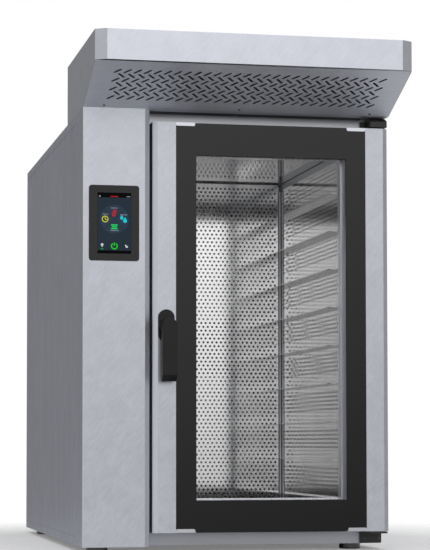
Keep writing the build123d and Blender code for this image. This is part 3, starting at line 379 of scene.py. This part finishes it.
STEEL = (0.595, 0.612, 0.668)
M = {}
M["satin_steel"] = brushed("satin_steel", STEEL, 0.40, (0, -38, 0), streak=0.055, cloud=0.065, along=45, across=220,
                           puff=(22, 22, 22))
M["side_steel"] = brushed("side_steel", (0.59, 0.615, 0.70), 0.40, None, streak=0.08, cloud=0.08,
                          tint=((0.605, 0.60, 0.65), 0.25), along=16.0, across=62, puff=(14, 14, 3.5))
# Brighter copies of the steel for the hood and its intake plate: painted light
hood_lit_steel = brushed("hood_lit_steel", scaled(STEEL, 1.10), 0.40, (0, -38, 0), streak=0.045, cloud=0.05, along=45,
                     across=220, puff=(22, 22, 22))
plate_lit_steel = brushed("plate_lit_steel", (0.89, 0.915, 0.99), 0.48, (0, 90, 0), streak=0.02, cloud=0.03)
# Darker, smoother copy of the steel: painted shade on the fold over the door, under the hood
lintel_shade_steel = brushed("lintel_shade_steel", (0.47, 0.48, 0.505), 0.33, (0, 90, 0), streak=0.02, cloud=0.03)
frame_steel = brushed("frame_steel", (0.43, 0.44, 0.48), 0.38, (0, 90, 0), streak=0.02, cloud=0.03)
# Darker copy of the steel: painted shade on the sides of the door's window
window_side_shade_steel = brushed("window_side_shade_steel", (0.36, 0.37, 0.41), 0.35, None, streak=0.02, cloud=0.02)
# Darker copy of the steel: painted shade on the door's edge in the gap beside the column
gap_shade_steel = brushed("gap_shade_steel", (0.28, 0.285, 0.30), 0.45, None, streak=0.03, cloud=0.04)
# Brighter copy of the steel: painted highlight on the door's left bevel and the column's left bend
bevel_highlight_steel = brushed("bevel_highlight_steel", (0.79, 0.81, 0.87), 0.40, None, streak=0.02, cloud=0.02, along=6)
# Slightly brighter, rougher copy of the steel: painted light on the column's right bevel
fold_lit_steel = brushed("fold_lit_steel", (0.61, 0.63, 0.69), 0.48, None, streak=0.02, cloud=0.02, along=6)
ceiling_steel = polished("ceiling_steel", (0.90, 0.90, 0.90), 0.085, waves=0.012)
M["inner_steel"] = brushed("inner_steel", (0.50, 0.50, 0.50), 0.42, None, streak=0.04, cloud=0.06)
M["cavity_steel"] = polished("cavity_steel", (0.87, 0.87, 0.87), 0.10)
M["rail_steel"] = polished("rail_steel", (0.70, 0.70, 0.71), 0.18)
# Near-black steel: painted shade on the cavity walls behind the perforated plates and inside the hood
duct_shade_steel = brushed("duct_shade_steel", (0.030, 0.029, 0.028), 0.50, None, streak=0.05, cloud=0.10)
M["reveal_steel"] = brushed("reveal_steel", (0.86, 0.875, 0.93), 0.28, None, streak=0.02, cloud=0.02, along=2)
M["clip_steel"] = brushed("clip_steel", (0.62, 0.635, 0.68), 0.26, (0, 90, 0), streak=0.03, cloud=0.02)
M["mineral_wool"] = moulded("mineral_wool", (0.52, 0.43, 0.24), 0.95, 500, 0.9, 0.25, specular=0.1)
M["motor_metal"] = moulded("motor_metal", (0.16, 0.17, 0.19), 0.45, 500, 0.25, 0.08, metallic=0.6)
M["fan_steel"] = brushed("fan_steel", (0.62, 0.62, 0.63), 0.30, (90, 0, 0), streak=0.04)
M["heater_alloy"] = moulded("heater_alloy", (0.17, 0.15, 0.14), 0.5, 600, 0.2, 0.2, metallic=0.8)
M["gasket_silicone"] = moulded("gasket_silicone", (0.045, 0.045, 0.047), 0.55, 700, 0.2, 0.1)
M["bezel_plastic"] = moulded("bezel_plastic", (0.016, 0.016, 0.0165), 0.42, 1500, 0.1, 0.05, specular=0.4)
M["display_glass"] = moulded("display_glass", (0.002, 0.002, 0.002), 0.08, 40, 0.01, 0.02, specular=0.03)
M["control_plastic"] = moulded("control_plastic", (0.05, 0.10, 0.075), 0.5, 800, 0.15, 0.1)
M["fan_plastic"] = moulded("fan_plastic", (0.02, 0.02, 0.021), 0.45, 900, 0.12, 0.08)
M["gland_nylon"] = moulded("gland_nylon", (0.035, 0.036, 0.038), 0.5, 900, 0.12, 0.08)
M["valve_brass"] = moulded("valve_brass", (0.70, 0.50, 0.24), 0.3, 700, 0.1, 0.08, metallic=1.0)
M["pipe_steel"] = brushed("pipe_steel", (0.58, 0.58, 0.59), 0.28, None, streak=0.03)
M["black_metal"] = moulded("black_metal", (0.020, 0.020, 0.021), 0.38, 1200, 0.12, 0.08)
M["screw_steel"] = moulded("screw_steel", (0.07, 0.07, 0.072), 0.34, 900, 0.1, 0.1, metallic=0.9)
M["foot_black"] = moulded("foot_black", (0.06, 0.06, 0.062), 0.16, 900, 0.05, 0.08, metallic=0.5, coat=1.0)
M["outer_glass"] = pane("outer_glass", (0.985, 0.985, 0.985), 0.010)
M["inner_glass"] = pane("inner_glass", (0.985, 0.985, 0.985), 0.004)
M["black_glass"] = moulded("black_glass", (0.0015, 0.0015, 0.0015), 0.03, 60, 0.004, 0.05, ior=1.425, vary=0.01)
M["black_enamel"] = moulded("black_enamel", (0.006, 0.006, 0.006), 0.25, 900, 0.03, 0.04, specular=0.2)
M["bush_bronze"] = moulded("bush_bronze", (0.55, 0.36, 0.20), 0.35, 700, 0.1, 0.1, metallic=1.0)
M["handle_black"] = moulded("handle_black", (0.008, 0.008, 0.008), 0.36, 1300, 0.10, 0.05, specular=0.30)
M["latch_steel"] = polished("latch_steel", (0.55, 0.55, 0.56), 0.28)
lamp = Shader("lamp_glass")
lamp_p = lamp.principled(Roughness=0.25)
frost = lamp.noise((300, 300, 300), None, (1, 2, 3), detail=2.0)
lamp.link(lamp.mix(lamp.ranged(frost, 0, 1), (0.75, 0.74, 0.70), (0.88, 0.87, 0.84)), lamp_p.inputs["Base Color"])
lamp.link(lamp.mix(lamp.ranged(frost, 0.85, 1), (0, 0, 0), (1.0, 0.98, 0.95)), lamp_p.inputs["Emission Color"])
lamp_p.inputs["Emission Strength"].default_value = 0.08
M["lamp_glass"] = lamp.mat

FINISH = {
    "base_pan": "inner_steel", "left_side_panel": "side_steel", "right_side_panel": "side_steel",
    "rear_panel": "side_steel", "roof_panel": "satin_steel", "column_front": "satin_steel",
    "front_rails": "satin_steel", "front_posts": "satin_steel", "column_divider": "inner_steel",
    "cavity_ceiling": "cavity_steel", "cavity_floor": "cavity_steel", "cavity_wall_left": "cavity_steel",
    "cavity_wall_right": "cavity_steel", "cavity_wall_rear": "cavity_steel",
    "rack_panel_left": "cavity_steel", "rack_panel_right": "cavity_steel", "tray_rails": "rail_steel",
    "diffuser_panel": "cavity_steel", "insulation_slabs": "mineral_wool", "motor_plate": "inner_steel",
    "fan_motors": "motor_metal", "impeller_upper": "fan_steel", "impeller_lower": "fan_steel",
    "heater_rings": "heater_alloy", "cavity_lamp": "lamp_glass", "door_gasket": "gasket_silicone",
    "touch_bezel": "bezel_plastic", "touch_display": "display_glass", "controller_box": "control_plastic",
    "power_board": "control_plastic", "column_fan_frame": "fan_plastic", "column_fan_rotor": "fan_plastic",
    "cable_gland": "gland_nylon", "water_valve": "valve_brass", "steam_pipe": "pipe_steel",
    "drain_pipe": "pipe_steel", "vent_pipe": "pipe_steel", "vent_damper": "pipe_steel",
    "hinge_bracket_top": "black_metal", "hinge_bracket_bottom": "black_metal", "latch_keeper": "latch_steel",
    "feet": "foot_black", "panel_screws": "screw_steel", "hood_shell": "satin_steel",
    "hood_intake_plate": "side_steel", "hood_fan_housing": "inner_steel", "hood_fan_rotor": "fan_plastic",
    "door_stile_left": "satin_steel", "door_stile_right": "satin_steel", "door_rails": "black_metal",
    "door_outer_glass": "outer_glass", "door_glass_border": "black_enamel", "door_inner_frame": "reveal_steel",
    "door_inner_glass": "inner_glass", "glass_clips": "clip_steel", "door_hinge_bushes": "bush_bronze",
    "handle_escutcheon": "handle_black", "handle_lever": "handle_black", "latch_spindle": "latch_steel",
}


def paint(o, material, second=None, faces=()):
    if not o.data.materials:
        o.data.materials.append(material)
    for k in range(len(o.data.materials)):
        o.data.materials[k] = material
    if second:
        o.data.materials.append(second)
        for f in faces:
            o.data.polygons[f].material_index = 1


for name, o in nodes.items():
    paint(o, M[FINISH[name]])
# Cavity walls behind the perforated plates: near-black steel, painted shade
for name in ("cavity_wall_rear", "cavity_wall_left", "cavity_wall_right"):
    paint(nodes[name], duct_shade_steel)
paint(nodes["cavity_ceiling"], ceiling_steel)
paint(nodes["front_rails"], frame_steel)


def some_faces(name, test):
    """Numbers of the node's faces for which test(centre in working mm, normal) holds."""
    found = []
    for f in nodes[name].data.polygons:
        c = f.center
        if test((c.x * 1000 + 402.5, c.y * 1000 + 520, c.z * 1000 - 15), f.normal):
            found.append(f.index)
    return found


# Near-black for the cut edges of holes and slots: painted shade, so the openings read dark
painted_hole_shade = moulded("painted_hole_shade_edge", (0.012, 0.012, 0.012), 0.6, 900, 0.2, 0.2, specular=0.1)

# Hood shell in a brighter copy of the steel (painted light); inside of the hood and the cut edges of its slots
# near-black (painted shade)
paint(nodes["hood_shell"], hood_lit_steel, duct_shade_steel,
      some_faces("hood_shell", lambda c, n: n.dot(Vector((402.5 - c[0], 40 - c[1], 1190 - c[2]))) > 0
                 and 5 < c[0] < 800 and -208 < c[1] < 284 and 1120 < c[2] < 1268))
# Intake plate: a brighter copy of the steel, painted light; the cut edges of its slots near-black, painted shade
under = max((f for f in nodes["hood_intake_plate"].data.polygons if f.normal.z < -0.3 and abs(f.normal.x) < 0.1),
            key=lambda f: f.area).normal.copy()
paint(nodes["hood_intake_plate"], plate_lit_steel, painted_hole_shade,
      some_faces("hood_intake_plate", lambda c, n: abs(n.dot(under)) < 0.3 and 12 < c[0] < 793 and -205 < c[1] < -6))

# Hood screws: dark steel heads round a black socket
at_hood = [(52.0, -12.0), (402.5, -12.0), (750.0, -12.0), (139.0, -155.6), (308.0, -155.6)]
paint(nodes["panel_screws"], M["screw_steel"], frame_steel,
      some_faces("panel_screws", lambda c, n: any(2.1 < math.hypot(c[0] - x, c[1] - y) < 6 for x, y in at_hood)))

# Door stiles: painted highlight on the left bevel, painted shade on the edge in the gap beside the column and on the
# sides of the window, each a copy of the steel in another brightness
for name in ("door_stile_left", "door_stile_right"):
    paint(nodes[name], M["satin_steel"], window_side_shade_steel,
          some_faces(name, lambda c, n: abs(n.x) > 0.9 and min(abs(c[0] - 295.0), abs(c[0] - 692.5)) < 0.1))
stile = nodes["door_stile_left"]
# Left bevel of the door: brighter steel, painted highlight
stile.data.materials.append(bevel_highlight_steel)
for f in some_faces("door_stile_left", lambda c, n: n.x < -0.25 and n.y < -0.25):
    stile.data.polygons[f].material_index = 2
# Door edge in the gap beside the column: darker steel, painted shade
stile.data.materials.append(gap_shade_steel)
for f in some_faces("door_stile_left", lambda c, n: n.x < -0.9 and c[0] < 182):
    stile.data.polygons[f].material_index = 3
# Fold over the door, under the hood: darker steel, painted shade
paint(nodes["roof_panel"], M["satin_steel"], lintel_shade_steel,
      some_faces("roof_panel", lambda c, n: n.y < -0.9 and c[0] > 172 and 60 < c[1] < 70 and c[2] > 1080))
# Column's right bevel: its own copy of the steel, a little brighter, painted light
paint(nodes["column_front"], M["satin_steel"], fold_lit_steel,
      some_faces("column_front", lambda c, n: n.x > 0.25 and n.y < -0.25 and c[0] > 150))
# Column's left bend: brighter steel, painted highlight
column = nodes["column_front"]
column.data.materials.append(bevel_highlight_steel)
for f in some_faces("column_front", lambda c, n: n.x < -0.15 and n.y < -0.15 and c[0] < 8):
    column.data.polygons[f].material_index = 2

# --------------------------------------------------------- perforated panels
# Rear diffuser: staggered round holes over the whole plate
flat = Flat()
pitch, row_h, hole_r = 13.11, 11.36, 3.3
top_row = 1031.0 - 18.4
rows, v = [], top_row + row_h / 2
rows.append((v, 1026.6, None))
k = 0
while v - row_h > 70.0:
    rows.append((v - row_h, v, k % 2))
    v -= row_h
    k += 1
rows.append((66.0, v, None))
perforate(flat, 294.5, 691.5, pitch, rows, hole_r)
verts, faces, cut = [], [], []
flat.solid(facing_front(729.0), 1.0, verts, faces, cut)
diffuser = piece("diffuser_plate", verts, faces, "cabinet")
# Hole edges near-black: painted shade
paint(diffuser, M["cavity_steel"], painted_hole_shade, cut)
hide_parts("diffuser_panel")


def rack_panel(side):
    """One rack panel, with five rows of holes between each pair of tray rails. side is 1 on the right."""
    flat = Flat()
    step = 11.3
    rows, v = [], 64.0
    for i in range(-1, 9):
        middle = min(171.5 + 102.2 * i, 981.0)
        group = [(middle + step * (j - 2), j % 2) for j in range(5)]
        group = [(m, kind) for m, kind in group if m - step / 2 > 68]
        rows.append((v, group[0][0] - step / 2, None))
        rows += [(m - step / 2, m + step / 2, kind) for m, kind in group]
        v = group[-1][0] + step / 2
    rows.append((v, 1010.0, None))
    perforate(flat, 104.0, 728.0, 15.75, rows, 3.4)
    verts, faces, cut = [], [], []
    if side > 0:
        flat.solid(lambda u, w, d: P(699.0 + d, u, w), 1.0, verts, faces, cut)
        flat_x = lambda x: x
    else:
        flat.solid(lambda u, w, d: P(287.0 - d, u, w), 1.0, verts, faces, cut)
        flat_x = lambda x: 986.0 - x
    up = lambda u, w, t: P(flat_x(u), w, t)
    prism([(700, 104), (742, 104), (742, 105.5), (700, 105.5)], 64, 1010, up, verts, faces)
    made = piece("rack_plate_" + ("right" if side > 0 else "left"), verts, faces, "cabinet")
    # Hole edges near-black: painted shade
    paint(made, M["cavity_steel"], painted_hole_shade, cut)
    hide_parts("rack_panel_right" if side > 0 else "rack_panel_left")
    verts, faces = [], []
    prism([(700.5, 105.5), (702, 105.5), (702, 728), (700.5, 728)], 1004, 1028.6, up, verts, faces)
    prism([(692.6, 726.5), (696.8, 726.5), (696.8, 728), (692.6, 728)], 64, 1008, up, verts, faces)
    trim = piece("rack_trim_" + ("right" if side > 0 else "left"), verts, faces, "cabinet")
    paint(trim, M["satin_steel"])
    # Thin near-black strips along the corners where the plates meet: painted shade standing for the shadowed gaps
    verts, faces = [], []
    prism([(690.0, 728.2), (692.6, 728.2), (692.6, 728.9), (690.0, 728.9)], 66, 1008, up, verts, faces)
    prism([(696.8, 727.2), (698.9, 727.2), (698.9, 728), (696.8, 728)], 66, 1004, up, verts, faces)
    shade_strip = piece("corner_shade_strip_" + ("right" if side > 0 else "left"), verts, faces, "cabinet")
    paint(shade_strip, M["gasket_silicone"])
    return made


rack_right = rack_panel(1)
rack_left = rack_panel(-1)

# Near-black strip between the hood plate's flange and the fold over the door: painted shade under the hood
verts, faces = [], []
prism([(33, 1112.2), (64, 1112.2), (64, 1112.95), (33, 1112.95)], 173.5, 744.0, lambda u, w, t: P(t, u, w), verts, faces)
paint(piece("hood_shade_strip", verts, faces, "cabinet"), M["gasket_silicone"])

# ---------------------------------------------------------------- outer glass
# One pane: clear in the window, black behind the glass all round it, with ground edges
def glass_pane():
    us, vs = [241.7, 242.3, 295.0, 692.5, 744.0, 744.6], [36.0, 36.6, 116.0, 1000.6, 1081.4, 1082.0]
    verts, faces, clear, index = [], [], [], {}

    def at(i, j, layer):
        edge = i in (0, 5) or j in (0, 5)
        y = (11.0, 16.35)[layer]
        if edge:
            y += (0.6, -0.6)[layer]
        key = (i, j, layer)
        if key not in index:
            index[key] = len(verts)
            verts.append(P(us[i], y, vs[j]))
        return index[key]

    for i in range(5):
        for j in range(5):
            for layer in (0, 1):
                f = [at(i, j, layer), at(i + 1, j, layer), at(i + 1, j + 1, layer), at(i, j + 1, layer)]
                if i == 2 and j == 2:
                    clear.append(len(faces))
                faces.append(f if layer == 0 else f[::-1])
    for k in range(5):
        for j in (0, 5):
            a, b = (k, j), (k + 1, j)
            if j:
                a, b = b, a
            faces.append([at(*b, 0), at(*a, 0), at(*a, 1), at(*b, 1)])
        for i in (0, 5):
            a, b = (i, k + 1), (i, k)
            if i:
                a, b = b, a
            faces.append([at(*b, 0), at(*a, 0), at(*a, 1), at(*b, 1)])
    made = piece("outer_glass_pane", verts, faces, "door")
    paint(made, M["black_glass"], M["outer_glass"], clear)
    made.data.materials.append(M["inner_glass"])
    made.data.polygons[clear[1]].material_index = 2
    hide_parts("door_outer_glass", "door_glass_border")
    return made


glass_pane()


# -------------------------------------------------------------------- display
def graphic(name, draw, y, colour, strength):
    flat = Flat()
    draw(flat)
    verts, faces = [], []
    flat.solid(facing_front(y), 0.05, verts, faces)
    made = piece(name, verts, faces, "cabinet")
    paint(made, lit(name, colour, strength))
    return made


dial_x, dial_z = 80.5, 828.5
graphic("screen_page", lambda f: f.rect(37.8, 123.1, 749.0, 883.5), -1.56, (0.0200, 0.0320, 0.0475), 1.0)


def marks(f, u0, u1, v0, v1, seed):
    """A row of small uneven blocks, like a caption too small to read."""
    u = u0
    while u < u1 - 1.0:
        seed = (seed * 7 + 3) % 11
        w = 1.3 + 0.12 * (seed % 5)
        f.rect(u, min(u + w, u1), v0 + (0.3 if seed % 3 == 0 else 0.0), v1 - (0.3 if seed % 2 else 0.0))
        u += w + 0.5


graphic("screen_status_marks", lambda f: [f.rect(41.5, 45.0, 885.0, 888.4), marks(f, 112.0, 121.0, 885.4, 887.6, 2)],
        -1.56, (0.36, 0.36, 0.36), 1.0)
graphic("screen_status_bar_middle", lambda f: marks(f, 71.0, 90.5, 885.2, 887.8, 5), -1.56, (0.62, 0.02, 0.02), 1.0)
graphic("screen_dial", lambda f: f.disc(dial_x, dial_z, 36.6, 64), -1.62, (0.0300, 0.0455, 0.0740), 1.0)


def dividers(f):
    for a in (45, 135, 225, 315):
        c, s_ = math.cos(math.radians(a)), math.sin(math.radians(a))
        f.bar(dial_x + c * 2, dial_z + s_ * 2, dial_x + c * 36, dial_z + s_ * 36, 1.1)


graphic("screen_dial_dividers", dividers, -1.68, (0.014, 0.022, 0.034), 1.0)


def thermometer(f):
    x, z = dial_x - 1.5, dial_z + 16.0
    f.ring(x, z - 4.4, 2.4, 4.6, n=24)
    f.rect(x - 1.7, x + 1.7, z - 0.2, z + 8.0)
    for k in range(3):
        f.rect(x + 3.6, x + 7.6, z + 0.2 + 3.0 * k, z + 1.7 + 3.0 * k)


def clock(f):
    x, z = dial_x - 23.6, dial_z
    f.ring(x, z, 6.4, 8.4, n=32)
    f.rect(x - 0.9, x + 0.9, z, z + 5.0)
    f.bar(x, z, x + 3.8, z - 2.2, 1.8)


def drops(f):
    x, z = dial_x + 23.2, dial_z
    for dx, dz, r in ((-4.2, 3.4, 4.2), (4.2, -3.8, 5.0)):
        cx, cz = x + dx, z + dz
        f.face(*[(cx + r * math.cos(math.radians(a)), cz + r * math.sin(math.radians(a)))
                 for a in range(150, 391, 16)] + [(cx, cz + 1.9 * r)])


def racks(f):
    x, z = dial_x, dial_z - 19.2
    for k, half in enumerate((8.4, 6.6, 8.4)):
        f.rect(x - half, x + half, z - 6.0 + 4.6 * k, z - 3.2 + 4.6 * k)


graphic("screen_icon_top", thermometer, -1.72, (0.62, 0.012, 0.02), 1.0)
graphic("screen_icon_left", clock, -1.72, (0.72, 0.68, 0.01), 1.0)
graphic("screen_icon_right", drops, -1.72, (0.01, 0.62, 0.72), 1.0)
graphic("screen_icon_bottom", racks, -1.72, (0.01, 0.74, 0.11), 1.0)
graphic("screen_captions", lambda f: [marks(f, dial_x - 8.5, dial_x + 8.5, dial_z + 27.4, dial_z + 29.4, 1),
                                      marks(f, dial_x - 31.0, dial_x - 15.8, dial_z + 11.6, dial_z + 13.6, 4),
                                      marks(f, dial_x + 15.0, dial_x + 32.8, dial_z + 10.6, dial_z + 12.6, 8),
                                      marks(f, dial_x - 10.5, dial_x + 11.5, dial_z - 29.8, dial_z - 27.8, 3)],
        -1.72, (0.30, 0.32, 0.38), 1.0)


def power(f):
    f.ring(80.5, 760.3, 6.0, 8.6, 122, 418, n=36)
    f.rect(79.3, 81.7, 760.8, 769.4)


graphic("screen_power", power, -1.72, (0.01, 0.70, 0.01), 1.0)
graphic("screen_lamp_icon", lambda f: [f.disc(49.2, 763.4, 3.5, 20), f.rect(47.9, 50.5, 757.4, 759.2)],
        -1.72, (0.62, 0.64, 0.66), 1.0)
graphic("screen_lamp_state", lambda f: f.rect(45.7, 52.7, 751.8, 753.3), -1.72, (0.01, 0.45, 0.03), 1.0)
graphic("screen_set_icon", lambda f: [f.bar(108.6, 763.8, 113.2, 756.6, 3.0), f.rect(109.4, 115.2, 757.0, 761.0)],
        -1.72, (0.62, 0.64, 0.66), 1.0)

# ---------------------------------------------------------------------- stage
floor_mesh = bpy.data.meshes.new("floor")
floor_mesh.from_pydata([(-7, -7, 0), (7, -7, 0), (7, 7, 0), (-7, 7, 0)], [], [(0, 1, 2, 3)])
floor = bpy.data.objects.new("floor", floor_mesh)
scene.collection.objects.link(floor)
s = Shader("floor")
diffuse = s.node("BsdfDiffuse")
soft = s.noise((3, 3, 3), None, (0, 0, 0), detail=2.0)
s.link(s.mix(s.ranged(soft, 0, 1), (0.76, 0.76, 0.765), (0.78, 0.78, 0.785)), diffuse.inputs["Color"])
clear = s.node("BsdfTransparent")
fade = s.node("MixShader")
span = s.tree.nodes.new("ShaderNodeVectorMath")
span.operation = "LENGTH"
s.link(s.coords(), span.inputs[0])
s.link(s.ranged(span.outputs["Value"], 0, 1, 0.70, 1.5), fade.inputs[0])
lift = s.node("Emission", Strength=0.12)
lift.inputs["Color"].default_value = (1.0, 1.0, 1.0, 1.0)
s.link(s.ranged(s.node("LightPath").outputs["Is Camera Ray"], 0.0, 0.19), lift.inputs["Strength"])
pale = s.node("AddShader")
s.link(diffuse.outputs[0], pale.inputs[0])
s.link(lift.outputs[0], pale.inputs[1])
s.link(pale.outputs[0], fade.inputs[1])
s.link(clear.outputs[0], fade.inputs[2])
s.link(fade.outputs[0], s.out.inputs["Surface"])
floor.data.materials.append(s.mat)

# ---------------------------------------------------------------------- light
world = bpy.data.worlds.new("studio")
scene.world = world
world.use_nodes = True
wt = world.node_tree
wt.nodes.clear()
w_co = wt.nodes.new("ShaderNodeTexCoord").outputs["Generated"]


def w_math(op, a, b):
    m = wt.nodes.new("ShaderNodeMath")
    m.operation = op
    for i, v in enumerate((a, b)):
        if isinstance(v, (int, float)):
            m.inputs[i].default_value = v
        else:
            wt.links.new(v, m.inputs[i])
    return m.outputs[0]


def w_lobe(direction, a, b):
    """Smoothly 0 to 1 as the direction's share along the lobe goes from a to b."""
    d = wt.nodes.new("ShaderNodeVectorMath")
    d.operation = "DOT_PRODUCT"
    wt.links.new(w_co, d.inputs[0])
    d.inputs[1].default_value = Vector(direction).normalized()
    m = wt.nodes.new("ShaderNodeMapRange")
    m.interpolation_type = "SMOOTHSTEP"
    m.inputs["From Min"].default_value = a
    m.inputs["From Max"].default_value = b
    wt.links.new(d.outputs["Value"], m.inputs["Value"])
    return m.outputs["Result"]


def heading(azimuth, elevation):
    """A direction seen from the oven: azimuth 0 is straight ahead of the door, 90 is to its right."""
    a, e = math.radians(azimuth), math.radians(elevation)
    return math.sin(a) * math.cos(e), -math.cos(a) * math.cos(e), math.sin(e)


glow = 0.328
for azimuth, elevation, reach, power in ((0, 88, 40, 0.55), (6, 25, 35, 1.43), (6, 50, 48, 0.32), (-30, 10, 40, 0.17),
                                         (-60, 8, 48, 0.42), (35, 5, 40, 0.04), (65, 5, 48, 0.26)):
    lobe = w_lobe(heading(azimuth, elevation), math.cos(math.radians(reach)), 1.0)
    glow = w_math("ADD", glow, w_math("MULTIPLY", lobe, power))
env = wt.nodes.new("ShaderNodeBackground")
wt.links.new(glow, env.inputs["Strength"])
white = wt.nodes.new("ShaderNodeBackground")
white.inputs["Color"].default_value = (1, 1, 1, 1)
path = wt.nodes.new("ShaderNodeLightPath")
w_mix = wt.nodes.new("ShaderNodeMixShader")
wt.links.new(path.outputs["Is Camera Ray"], w_mix.inputs[0])
wt.links.new(env.outputs[0], w_mix.inputs[1])
wt.links.new(white.outputs[0], w_mix.inputs[2])
w_out = wt.nodes.new("ShaderNodeOutputWorld")
wt.links.new(w_mix.outputs[0], w_out.inputs["Surface"])


def area(name, at, toward, size, power, colour=(1, 1, 1)):
    data = bpy.data.lights.new(name, "AREA")
    data.shape, data.size, data.size_y = "RECTANGLE", size[0], size[1]
    data.energy, data.color = power, colour
    o = bpy.data.objects.new(name, data)
    o.location = at
    o.rotation_euler = (Vector(toward) - Vector(at)).to_track_quat("-Z", "Y").to_euler()
    scene.collection.objects.link(o)
    return o


area("overhead", (0.0, -0.6, 4.2), (0.0, 0.0, 0.0), (3.2, 3.2), 45)

# --------------------------------------------------------------------- camera
cam_data = bpy.data.cameras.new("camera")
cam_data.lens = 125.55
cam_data.sensor_width = 36.0
cam_data.shift_x, cam_data.shift_y = 0.0746, 0.1546
cam_data.clip_end = 100
cam = bpy.data.objects.new("camera", cam_data)
cam.location = (-1.09123, -5.29935, 0.27533)
cam.rotation_euler = (math.radians(92.5), 0, math.radians(-10.9337))
scene.collection.objects.link(cam)
scene.camera = cam

bpy.context.view_layer.update()
